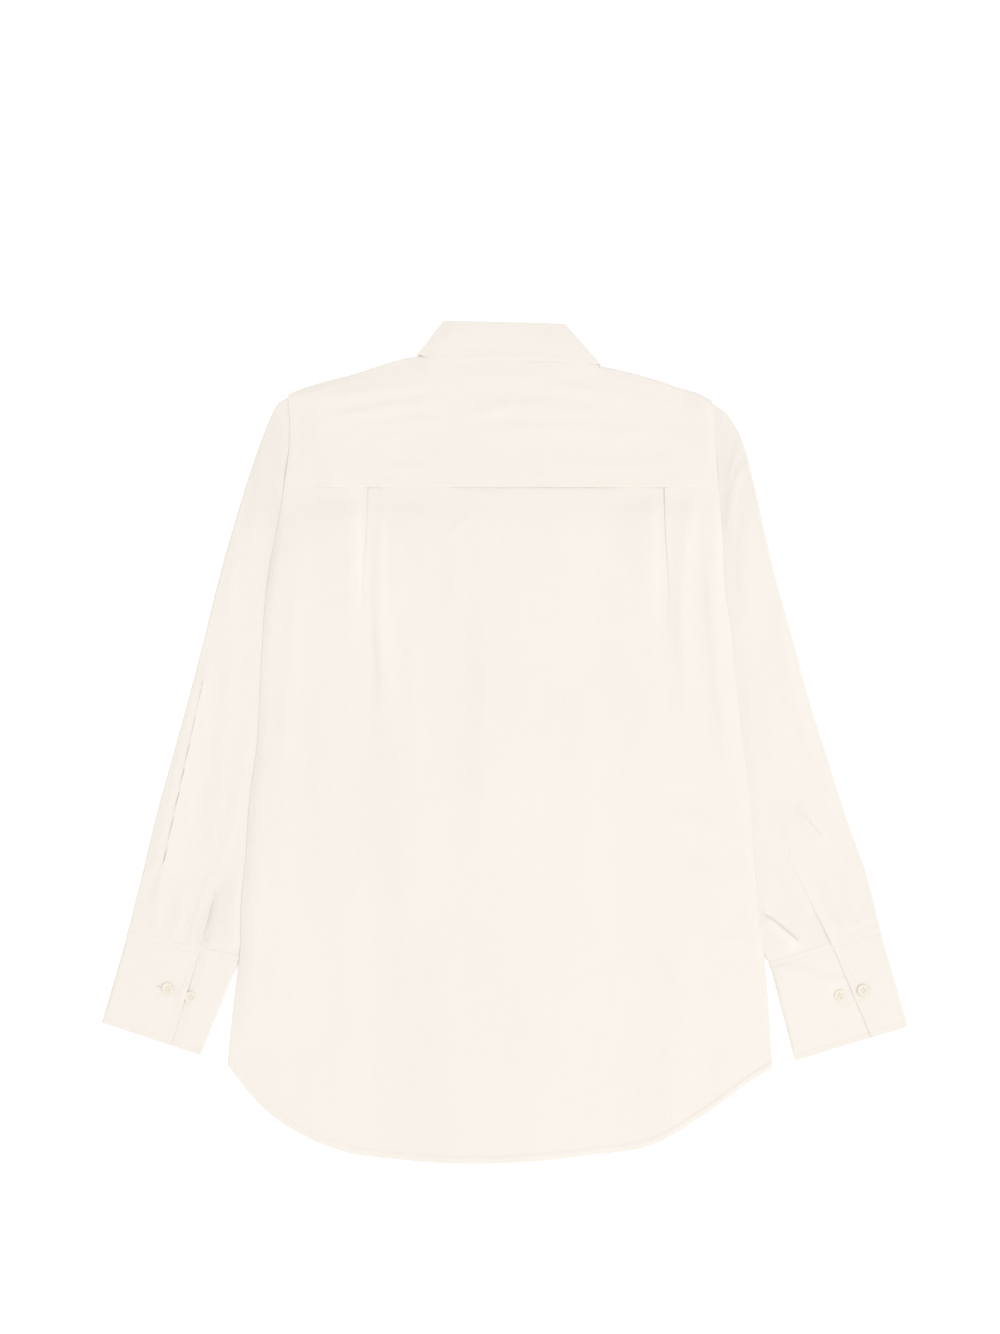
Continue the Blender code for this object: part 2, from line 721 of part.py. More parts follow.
def sleeve_ring(side, at):
    table = sleeve_table(side)
    ox, oy, ix, iy = sleeve_ends(side, at)
    length = math.hypot(ix - ox, iy - oy)
    ux, uy = (ix - ox) / length, (iy - oy) / length
    # Both ends come in by the round of the fold there. The inner one is square
    # to the line that the fold follows, which the first rings meet at a slant.
    inset = LAYER / 2 + WALL / 2
    sign = -1.0 if side == "left" else 1.0
    before, after = sleeve_ends(side, at - 0.2), sleeve_ends(side, at + 0.2)
    tx, ty = after[2] - before[2], after[3] - before[3]
    nx, ny = sign * ty / math.hypot(tx, ty), -sign * tx / math.hypot(tx, ty)
    square = min(at, 1.0)
    nx, ny = blend(ux, nx, square), blend(uy, ny, square)
    nx, ny = nx / math.hypot(nx, ny), ny / math.hypot(nx, ny)
    near = max(0.0, 1.0 - at) ** 2

    bow = float(np.interp(at, BOW_AT, BOW))

    def place(share, out=0.0):
        # A curve from the outer fold that reaches the inner one squarely.
        end_x, end_y = ix - nx * inset, iy - ny * inset
        via_x = (ox + end_x) / 2 if bow == 0.0 else end_x - nx * bow
        via_y = (oy + end_y) / 2 if bow == 0.0 else end_y - ny * bow
        much = min(bow / 10.0, 1.0)
        line = [
            blend(ox + ux * inset, end_x, share),
            blend(oy + uy * inset, end_y, share),
        ]
        curve = [
            (1 - share) ** 2 * (ox + ux * inset) + 2 * share * (1 - share) * via_x + share**2 * end_x,
            (1 - share) ** 2 * (oy + uy * inset) + 2 * share * (1 - share) * via_y + share**2 * end_y,
        ]
        x, y = (blend(a, b, much) for a, b in zip(line, curve, strict=True))
        x += (nx if share > 0.5 else ux) * out
        y += (ny if share > 0.5 else uy) * out
        clear_of_yoke = 0.5 * ease_off(abs(y - table[0][1]), 14.0)
        seam = body_edge(side, y) + sign * (SEAM_GAP + clear_of_yoke)
        x = blend(x, seam, near)
        # Above where it is tucked in, the sleeve stays clear of the body's edge.
        if y > LIFT_FULL_Y - 8.0:
            x = min(x, seam) if side == "left" else max(x, seam)
        return x, y

    ring = []
    low, high = WALL / 2, WALL / 2 + LAYER
    for share in TOP_SHARES:
        x, y = place(share)
        clear = sign * (x - body_edge(side, y)) - 6.0
        lift = fold_height(SLEEVE_FOLDS[side], x, y) * (1.0 - ease_off(clear, 12.0))
        if share in (0.0, 1.0):
            lift = 0.0
        ring.append((x, y, high + lift * (1.0 - ease_off(11.0 - at, 1.0))))
    x, y = place(1.0, LAYER / 2)
    ring.append((x, y, (low + high) / 2))
    for share in UNDER_SHARES:
        x, y = place(share)
        ring.append((x, y, low))
    x, y = place(0.0, -LAYER / 2)
    ring.append((x, y, (low + high) / 2))
    return ring + [ring[0]]


for side in ("left", "right"):
    rings = [sleeve_ring(side, at) for at in RING_STEPS]
    # The last ring stops short of the cuff by the gap between pieces.
    sheet("sleeve_" + side, rings, closed_across=True)

# -------------------------------------------------------------------- cuffs
CUFF_ROWS_DOWN = (0.4, 23.0, 35.0, 45.5, 56.0, 70.0, 88.6)
LAP_IN = (0.0, 5.0, 10.0, 17.0, 30.0)  # columns in from the overlapping edge
CUFF_UPPER_Z = WALL / 2 + 2 * LAYER
CUFF_UNDER_TOP_Z = WALL / 2 + LAYER
BUTTON_ROOM = CUFF_BUTTON_THICK + GAP + GAP  # over the button under the edge


def cuff(side):
    size = dict(zip(CUFF_COLUMNS, CUFF_LEFT if side == "left" else CUFF_RIGHT))
    inset = LAYER / 2 + WALL / 2
    depth = math.hypot(
        size["outer_end_x"] - size["outer_top_x"], size["outer_end_y"] - size["outer_top_y"]
    )
    under = [b for b in CUFF_BUTTONS if b[0] == side and b[4] == "under"][0]
    under_button = (under[2], under[3])

    def place(run, d, z, push=0.0):
        """A point run mm across from the outer edge, d of the way down."""
        ax = blend(size["outer_top_x"], size["outer_end_x"], d)
        ay = blend(size["outer_top_y"], size["outer_end_y"], d)
        bx = blend(size["inner_top_x"], size["inner_end_x"], d)
        by = blend(size["inner_top_y"], size["inner_end_y"], d)
        width = math.hypot(bx - ax, by - ay)
        ux, uy = (bx - ax) / width, (by - ay) / width
        return (ax + ux * (run + push), ay + uy * (run + push), z)

    def width_at(d):
        a = place(0.0, d, 0.0)
        bx = blend(size["inner_top_x"], size["inner_end_x"], d)
        by = blend(size["inner_top_y"], size["inner_end_y"], d)
        return math.hypot(bx - a[0], by - a[1])

    rows = []
    for down in CUFF_ROWS_DOWN:
        d = down / depth
        width = width_at(d)
        lap = width * blend(size["lap_top"], size["lap_end"], d)
        row = []
        outer_in = (CUFF_UPPER_Z - WALL / 2) / 2 + WALL / 2
        runs = [lap - a for a in LAP_IN if lap - a > outer_in + 4.0] + [outer_in]
        for run in runs:
            x, y, z = place(run, d, CUFF_UPPER_Z)
            near = math.hypot(x - under_button[0], y - under_button[1])
            row.append((x, y, z + BUTTON_ROOM * ease_off(near - 8.0, 11.0)))
        middle = (CUFF_UPPER_Z + WALL / 2) / 2
        radius = (CUFF_UPPER_Z - WALL / 2) / 2
        for step in (1, 2):
            angle = math.pi * step / 3
            row.append(
                place(outer_in - radius * math.sin(angle), d, middle + radius * math.cos(angle))
            )
        for share in (0.0, 0.33, 0.66, 1.0):
            row.append(place(blend(outer_in, width - inset, share), d, WALL / 2))
        row.append(place(width - inset + LAYER / 2, d, WALL / 2 + LAYER / 2))
        end = lap - CUFF_UNDERLAP
        for share in (1.0, 0.5, 0.0):
            row.append(place(blend(end, width - inset, share), d, CUFF_UNDER_TOP_Z))
        rows.append(row)
    return rows


for side in ("left", "right"):
    rows = cuff(side)
    most = min(len(row) for row in rows)
    assert all(len(row) == most for row in rows)
    sheet("cuff_" + side, rows)

for side, number, x, y, layer in CUFF_BUTTONS:
    on = CUFF_UPPER_Z + 0.2 if layer == "upper" else CUFF_UNDER_TOP_Z
    button(f"button_cuff_{side}_{number}", x, y, on + WALL / 2 + GAP, CUFF_BUTTON_THICK)

# The plackets of the sleeve slits lie on the sleeves, above the cuffs.
for side, low_x, low_y, top_x, top_y in PLACKETS:
    length = math.hypot(top_x - low_x, top_y - low_y)
    ux, uy = (top_x - low_x) / length, (top_y - low_y) / length
    out = (-uy, ux) if side == "left" else (uy, -ux)
    rows = []
    for i in range(5):
        run = length * i / 4
        row = []
        for share in (0.0, 0.5, 1.0):
            x = low_x + ux * run + out[0] * PLACKET_WIDTH * share
            y = low_y + uy * run + out[1] * PLACKET_WIDTH * share
            lift = fold_height(SLEEVE_FOLDS[side], x, y)
            row.append((x, y, CUFF_UPPER_Z + 0.1 + lift))
        rows.append(row)
    sheet("sleeve_placket_" + side, rows)
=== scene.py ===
import math

import bmesh
import bpy
import numpy as np
from mathutils import Matrix, Vector


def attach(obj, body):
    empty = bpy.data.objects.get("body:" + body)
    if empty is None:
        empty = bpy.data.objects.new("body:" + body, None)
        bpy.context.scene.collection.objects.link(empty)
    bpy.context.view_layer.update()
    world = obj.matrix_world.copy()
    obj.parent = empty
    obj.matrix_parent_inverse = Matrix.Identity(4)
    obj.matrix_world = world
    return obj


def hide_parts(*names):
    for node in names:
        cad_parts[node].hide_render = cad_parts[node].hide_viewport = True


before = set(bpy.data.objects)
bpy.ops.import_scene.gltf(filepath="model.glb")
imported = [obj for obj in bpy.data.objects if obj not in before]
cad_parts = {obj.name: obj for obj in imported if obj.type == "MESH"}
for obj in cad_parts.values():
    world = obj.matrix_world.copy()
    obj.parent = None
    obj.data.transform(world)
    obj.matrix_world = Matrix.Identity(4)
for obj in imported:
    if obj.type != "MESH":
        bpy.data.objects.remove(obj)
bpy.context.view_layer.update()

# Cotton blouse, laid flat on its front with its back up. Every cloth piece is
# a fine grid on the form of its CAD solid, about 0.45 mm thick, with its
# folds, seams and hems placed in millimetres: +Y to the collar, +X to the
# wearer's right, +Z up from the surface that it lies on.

MM = 0.001
HALF = 0.22  # half of the cloth's thickness

# ------------------------------------------------------------ driving sizes
WALL = 1.0
LAYER = 1.3
CENTRE_X = -4.3
YOKE_SEAM_Y = 243.2
NECK_LEFT = (-81.3, 366.0)
NECK_RIGHT = (89.7, 357.0)
FRONT_NECK_Y = 294.0
YOKE_FORWARD = 20.0
FRONT_HEM_UP = 10.0
BAND_WIDTH = 28.0
BUTTON_WIDTH = 11.4
STAND_BUTTON_Y = 308.0
FIRST_BUTTON_Y = 255.0
BUTTON_SPACING = 82.0
FRONT_BUTTONS = 7
STAND_TOP_Y = 322.0
STAND_LAP = 12.0
FALL_EDGE_Y = 361.5
COLLAR_POINT = {"left": (-52.0, 262.0), "right": (43.4, 262.0)}
FALL_END = 9.0
SLEEVE_LIFT = 1.95
ON_SLEEVE_Z = 1.8 + 0.47  # the first cloth that lies on a sleeve
BUTTONHOLE_SIDE_LIFT = 2.3
BUTTON_SIDE_LIFT = 3.6
COLLAR_LIFT = 1.3
LIFT_FULL_Y, LIFT_NONE_Y = 240.0, 280.0
LIFT_FULL_LOW_Y, LIFT_NONE_LOW_Y = -212.0, -265.0
LIFT_MARGIN, LIFT_SLOPE = 24.0, 30.0
CUFF_UNDERLAP = 31.0
PLACKET_WIDTH = 12.5

# The body's left and right edges: armhole above y = 154, side seam below.
BODY = np.array(
    [
        (327.0, -205.5, 197.1),
        (306.0, -203.8, 198.6),
        (277.0, -204.6, 200.4),
        (243.2, -209.1, 202.9),
        (215.0, -213.4, 205.4),
        (192.0, -218.0, 207.0),
        (154.0, -224.7, 208.5),
        (97.0, -229.4, 215.9),
        (45.0, -232.0, 221.3),
        (2.0, -234.2, 226.1),
        (-55.0, -241.8, 233.2),
        (-112.0, -245.6, 236.8),
        (-150.0, -249.4, 240.6),
        (-198.0, -250.8, 246.2),
        (-245.0, -256.6, 250.3),
        (-302.0, -262.7, 254.0),
    ]
)[::-1]
# The back hem, from the left side seam to the right.
HEM = np.array(
    [
        (-262.7, -306.8),
        (-232.3, -343.9),
        (-194.3, -371.4),
        (-156.3, -387.6),
        (-99.3, -396.1),
        (-13.8, -399.5),
        (71.7, -392.8),
        (147.7, -379.0),
        (185.7, -356.2),
        (242.7, -316.3),
        (254.0, -309.7),
    ]
)
# The shoulders as they lie, from the armhole to the neck.
SHOULDER = np.array(
    [
        (-211.4, 325.8),
        (-202.8, 331.6),
        (-188.6, 337.2),
        (-169.6, 342.9),
        (-145.8, 348.6),
        (-110.7, 360.1),
        (-93.6, 364.9),
        (-81.3, 366.3),
        (89.7, 357.3),
        (105.9, 354.3),
        (128.7, 348.6),
        (147.7, 342.9),
        (163.9, 337.2),
        (183.8, 331.6),
        (194.3, 325.8),
        (200.9, 320.1),
    ]
)
# Each sleeve from the armhole to the cuff: (outer x, outer y, inner x, inner y).
SLEEVE = {
    "left": np.array(
        [
            (-205.7, 328.7, -200.0, 263.0),
            (-217.1, 318.3, -202.6, 247.0),
            (-230.4, 286.9, -203.0, 230.0),
            (-243.7, 248.9, -193.0, 196.0),
            (-255.1, 210.9, -169.0, 140.0),
            (-269.3, 161.5, -153.0, 72.0),
            (-285.5, 96.9, -161.0, 9.5),
            (-300.2, 39.9, -173.4, -32.3),
            (-315.9, -17.1, -186.7, -74.1),
            (-331.6, -74.1, -202.8, -115.9),
            (-343.9, -126.3, -224.7, -157.7),
            (-357.7, -180.5, -250.3, -204.2),
        ]
    ),
    "right": np.array(
        [
            (198.0, 324.6, 194.6, 263.0),
            (212.8, 309.4, 196.2, 247.0),
            (225.6, 286.9, 195.8, 230.0),
            (236.1, 248.9, 184.5, 196.0),
            (244.6, 210.9, 160.0, 138.0),
            (256.0, 161.5, 143.5, 70.0),
            (274.1, 96.9, 151.5, 8.5),
            (289.3, 39.9, 163.9, -33.2),
            (307.3, -17.1, 178.1, -76.0),
            (325.4, -74.1, 196.2, -117.8),
            (343.9, -126.3, 223.7, -161.5),
            (356.7, -176.7, 251.3, -209.9),
        ]
    ),
}
BOW_AT = (0.0, 1.0, 2.0, 3.0, 4.0, 6.0)
BOW = (0.0, 9.0, 16.0, 16.0, 10.0, 0.0)
# Each cuff: its outer and inner corners at the sleeve, then at its end, and
# where its overlapping edge lies across it at the two.
CUFF = {
    "left": ((-357.7, -180.5), (-250.3, -204.2), (-382.4, -266.0), (-287.8, -297.3), 0.64, 0.69),
    "right": ((356.7, -176.7), (251.3, -209.9), (383.8, -269.6), (275.4, -302.5), 0.436, 0.325),
}
CUFF_BUTTONS = (
    ("left", 1, -319.7, -233.7, "upper"),
    ("left", 2, -298.2, -242.0, "under"),
    ("right", 1, 340.4, -235.4, "upper"),
    ("right", 2, 318.7, -240.3, "under"),
)
# The sleeve plackets' free edges, from the cuff seam up to their tops.
PLACKET = {
    "left": ((-289.4, -195.0), (-271.0, -126.5)),
    "right": ((310.1, -190.4), (266.6, -105.6)),
}
STAND_SIDE = {
    "left": ((-78.4, 367.4), (-55.6, 394.6)),
    "right": ((86.8, 358.7), (54.0, 391.6)),
}
FALL_SIDE = {
    "left": ((-81.0, 367.6), (-55.7, 399.8)),
    "right": ((89.6, 358.6), (55.7, 397.0)),
}
STAND_BACK_Z = WALL / 2 + COLLAR_LIFT + WALL + 0.5
FALL_BACK_Z = STAND_BACK_Z + LAYER

# ------------------------------------------------------------------- folds
# Each fold is a line of (x, y, height, half width on the -X or -Y side, half
# width on the +X or +Y side). A height below 0 is a trough.
BACK_FOLDS = (
    ((-218.0, 40.0, 0.0, 28.0, 34.0), (-220.0, -30.0, 0.8, 28.0, 36.0), (-224.0, -120.0, 1.1, 28.0, 38.0), (-227.0, -220.0, 1.0, 28.0, 38.0), (-230.0, -300.0, 0.0, 26.0, 36.0)),
    # left pleat: its rolled edge, then the roll inside it that opens downwards
    ((-140.5, 250.0, 0.7, 10.0, 3.4), (-140.5, 190.0, 1.2, 10.0, 3.6), (-139.0, 135.0, 1.0, 11.0, 4.4), (-137.0, 90.0, 0.3, 13.0, 8.0), (-137.0, 65.0, 0.0, 15.0, 10.0)),
    ((-119.0, 232.0, 0.0, 5.0, 7.0), (-118.5, 190.0, 1.3, 5.0, 7.0), (-119.5, 135.0, 1.5, 5.2, 8.0), (-119.0, 95.0, 1.7, 4.2, 12.0), (-116.0, 62.0, 1.7, 5.0, 15.0), (-109.0, 30.0, 1.6, 13.0, 20.0), (-101.0, -20.0, 2.4, 23.0, 28.0), (-97.0, -80.0, 2.6, 27.0, 30.0), (-95.0, -130.0, 1.9, 27.0, 30.0), (-94.0, -190.0, 0.0, 28.0, 30.0)),
    ((-105.0, 205.0, 0.0, 5.0, 7.0), (-104.0, 175.0, 0.6, 5.0, 6.0), (-103.0, 140.0, 0.35, 6.0, 8.0), (-103.0, 115.0, 0.0, 6.0, 8.0)),
    # right pleat: its edge, and the folds beside it
    ((135.0, 250.0, 0.3, 20.0, 9.0), (135.5, 190.0, 1.2, 18.0, 9.0), (136.0, 140.0, 0.9, 15.0, 9.0), (137.0, 100.0, 0.3, 15.0, 10.0), (138.0, 75.0, 0.0, 15.0, 10.0)),
    ((175.0, 243.0, 1.0, 12.0, 8.0), (171.5, 200.0, 1.5, 10.0, 9.0), (168.5, 150.0, 1.5, 7.5, 9.0), (169.0, 95.0, 1.2, 7.0, 9.0), (171.0, 55.0, 0.6, 8.0, 12.0), (172.0, 15.0, 0.0, 9.0, 12.0)),
    ((193.5, 182.0, 0.0, 6.0, 9.0), (195.0, 150.0, 1.0, 6.0, 9.0), (200.0, 80.0, 1.1, 6.0, 10.0), (207.0, 15.0, 0.9, 6.5, 12.0), (213.0, -40.0, 0.3, 8.0, 12.0), (216.0, -75.0, 0.0, 8.0, 12.0)),
    # drags from the left shoulder blade down
    ((-171.0, 284.0, 0.0, 10.0, 14.0), (-168.0, 255.0, 1.1, 9.0, 15.0), (-163.0, 215.0, 1.0, 9.0, 15.0), (-151.0, 160.0, 1.3, 11.0, 15.0), (-147.0, 118.0, 0.9, 12.0, 16.0), (-145.0, 85.0, 0.0, 12.0, 16.0)),
    ((-196.0, 200.0, 0.0, 10.0, 8.0), (-200.0, 120.0, 0.8, 10.0, 9.0), (-206.0, 40.0, 0.9, 9.0, 12.0), (-213.0, -60.0, 0.5, 10.0, 14.0), (-219.0, -150.0, 0.0, 10.0, 14.0)),
    ((-178.0, 60.0, 0.0, 14.0, 16.0), (-172.0, -10.0, 0.8, 14.0, 18.0), (-170.0, -90.0, 0.9, 14.0, 18.0), (-172.0, -180.0, 0.0, 14.0, 18.0)),
    # over the front bands, and long soft rolls in the lower back
    ((-20.0, 185.0, 0.0, 14.0, 40.0), (-19.0, 130.0, 0.9, 13.0, 46.0), (-18.0, 60.0, 1.4, 14.0, 56.0), (-18.0, -30.0, 1.4, 15.0, 58.0), (-18.0, -85.0, 0.7, 17.0, 54.0), (-18.0, -120.0, 0.0, 20.0, 50.0)),
    ((-52.0, 180.0, 0.0, 8.0, 10.0), (-46.0, 150.0, 0.7, 8.0, 11.0), (-47.0, 115.0, 0.0, 9.0, 11.0)),
    ((-84.0, 118.0, 0.0, 9.0, 9.0), (-87.0, 65.0, 0.8, 10.0, 10.0), (-86.0, 10.0, 0.6, 12.0, 12.0), (-85.0, -40.0, 0.0, 12.0, 12.0)),
    ((-147.0, -110.0, 0.0, 3.0, 16.0), (-147.0, -180.0, 0.55, 3.0, 18.0), (-147.0, -280.0, 0.50, 3.0, 18.0), (-148.0, -350.0, 0.0, 3.0, 16.0)),
    ((70.0, 60.0, 0.0, 20.0, 20.0), (78.0, 0.0, 0.7, 20.0, 20.0), (80.0, -120.0, 0.5, 22.0, 22.0), (84.0, -230.0, 0.0, 22.0, 22.0)),
    ((-60.0, -160.0, 0.0, 20.0, 18.0), (-58.0, -230.0, 0.6, 20.0, 18.0), (-52.0, -320.0, 0.5, 20.0, 18.0), (-50.0, -400.0, 0.3, 20.0, 18.0)),
    ((158.0, -140.0, 0.0, 16.0, 18.0), (164.0, -220.0, 0.7, 16.0, 18.0), (160.0, -300.0, 0.8, 16.0, 18.0), (152.0, -380.0, 0.5, 16.0, 18.0)),
    ((20.0, -240.0, 0.0, 14.0, 16.0), (26.0, -310.0, 0.5, 14.0, 16.0), (30.0, -400.0, 0.6, 14.0, 16.0)),
    # the seat of the right side, where the cloth buckles over the sleeve
    ((140.0, -62.0, 0.0, 13.0, 9.0), (172.0, -72.0, 1.0, 13.0, 9.0), (205.0, -88.0, 0.7, 13.0, 9.0), (222.0, -98.0, 0.0, 13.0, 9.0)),
    ((158.0, -118.0, 0.0, 9.0, 9.0), (182.0, -124.0, 0.7, 9.0, 9.0), (212.0, -142.0, 0.5, 9.0, 9.0), (228.0, -158.0, 0.0, 9.0, 9.0)),
    ((246.0, -196.0, 0.6, 5.0, 7.0), (216.0, -188.0, 0.6, 5.0, 7.0), (196.0, -196.0, 0.0, 5.0, 7.0)),
    # the small crease under the yoke seam
    ((-32.0, 217.0, 0.0, 3.5, 5.0), (-38.0, 209.0, 0.5, 3.5, 5.0), (-50.0, 198.0, 0.4, 3.5, 5.0), (-56.0, 192.0, 0.0, 3.5, 5.0)),
)
YOKE_FOLDS = (
    # drags across the yoke, from shoulder to shoulder
    ((-40.0, 309.0, 0.0, 8.0, 6.0), (-22.0, 312.0, 0.7, 9.0, 6.0), (10.0, 319.5, 0.85, 11.0, 5.5), (55.0, 316.5, 0.85, 11.0, 5.5), (88.0, 313.0, 0.5, 10.0, 6.0), (115.0, 308.0, 0.0, 9.0, 6.0)),
    ((-190.0, 326.0, 0.2, 6.0, 6.0), (-165.0, 327.5, 0.8, 6.5, 5.0), (-125.0, 333.0, 0.9, 7.0, 5.0), (-85.0, 338.0, 0.6, 7.0, 6.0), (-50.0, 340.0, 0.0, 7.0, 6.0)),
    ((-188.0, 306.0, 0.0, 6.0, 5.0), (-150.0, 310.0, 0.7, 7.0, 5.0), (-110.0, 318.0, 0.8, 7.0, 5.0), (-70.0, 322.0, 0.4, 7.0, 6.0), (-45.0, 323.0, 0.0, 7.0, 6.0)),
    ((-128.0, 286.0, 0.0, 4.0, 4.0), (-112.0, 288.0, 0.6, 4.5, 3.6), (-98.0, 290.5, 0.4, 4.5, 4.0), (-88.0, 292.0, 0.0, 4.0, 4.0)),
    ((-72.0, 281.0, 0.0, 4.0, 4.0), (-62.0, 274.0, 0.55, 4.5, 3.6), (-53.0, 266.0, 0.4, 4.5, 4.0), (-48.0, 260.0, 0.0, 4.0, 4.0)),
    ((-118.0, 262.0, 0.0, 4.5, 4.0), (-95.0, 260.5, 0.55, 5.0, 3.8), (-70.0, 262.0, 0.0, 4.5, 4.0)),
    ((30.0, 268.0, 0.0, 7.0, 6.0), (70.0, 264.0, 0.5, 7.0, 6.0), (120.0, 262.0, 0.5, 7.0, 6.0), (165.0, 268.0, 0.0, 7.0, 6.0)),
    ((25.0, 340.0, 0.0, 7.0, 6.0), (62.0, 336.0, 0.7, 7.0, 6.0), (100.0, 330.0, 0.7, 7.0, 6.0), (140.0, 322.0, 0.5, 7.0, 6.0), (178.0, 312.0, 0.0, 7.0, 6.0)),
    ((-150.0, 298.0, 0.0, 6.0, 5.0), (-118.0, 300.0, 0.5, 6.0, 4.0), (-80.0, 305.0, 0.6, 6.0, 4.0), (-48.0, 303.0, 0.0, 6.0, 5.0)),
    ((-40.0, 292.0, 0.0, 8.0, 6.0), (0.0, 296.0, 0.6, 9.0, 6.0), (60.0, 298.0, 0.6, 9.0, 6.0), (120.0, 294.0, 0.5, 8.0, 6.0), (160.0, 300.0, 0.0, 7.0, 6.0)),
    ((-60.0, 352.0, 0.0, 6.0, 5.0), (-20.0, 349.0, 0.7, 7.0, 5.0), (20.0, 346.0, 0.6, 7.0, 5.0), (60.0, 350.0, 0.0, 6.0, 5.0)),
    ((-175.0, 276.0, 0.0, 8.0, 10.0), (-168.0, 255.0, 0.9, 8.0, 12.0), (-165.0, 243.0, 1.0, 8.0, 12.0), (-164.0, 236.0, 1.0, 8.0, 12.0)),
    ((140.0, 298.0, 0.0, 8.0, 8.0), (165.0, 288.0, 0.6, 8.0, 8.0), (190.0, 276.0, 0.5, 8.0, 8.0), (203.0, 270.0, 0.3, 8.0, 8.0)),
    ((178.0, 330.0, 0.0, 5.0, 6.0), (190.0, 316.0, 0.9, 5.0, 6.0), (200.0, 303.0, 0.8, 5.0, 6.0), (205.0, 296.0, 0.3, 5.0, 6.0)),
)
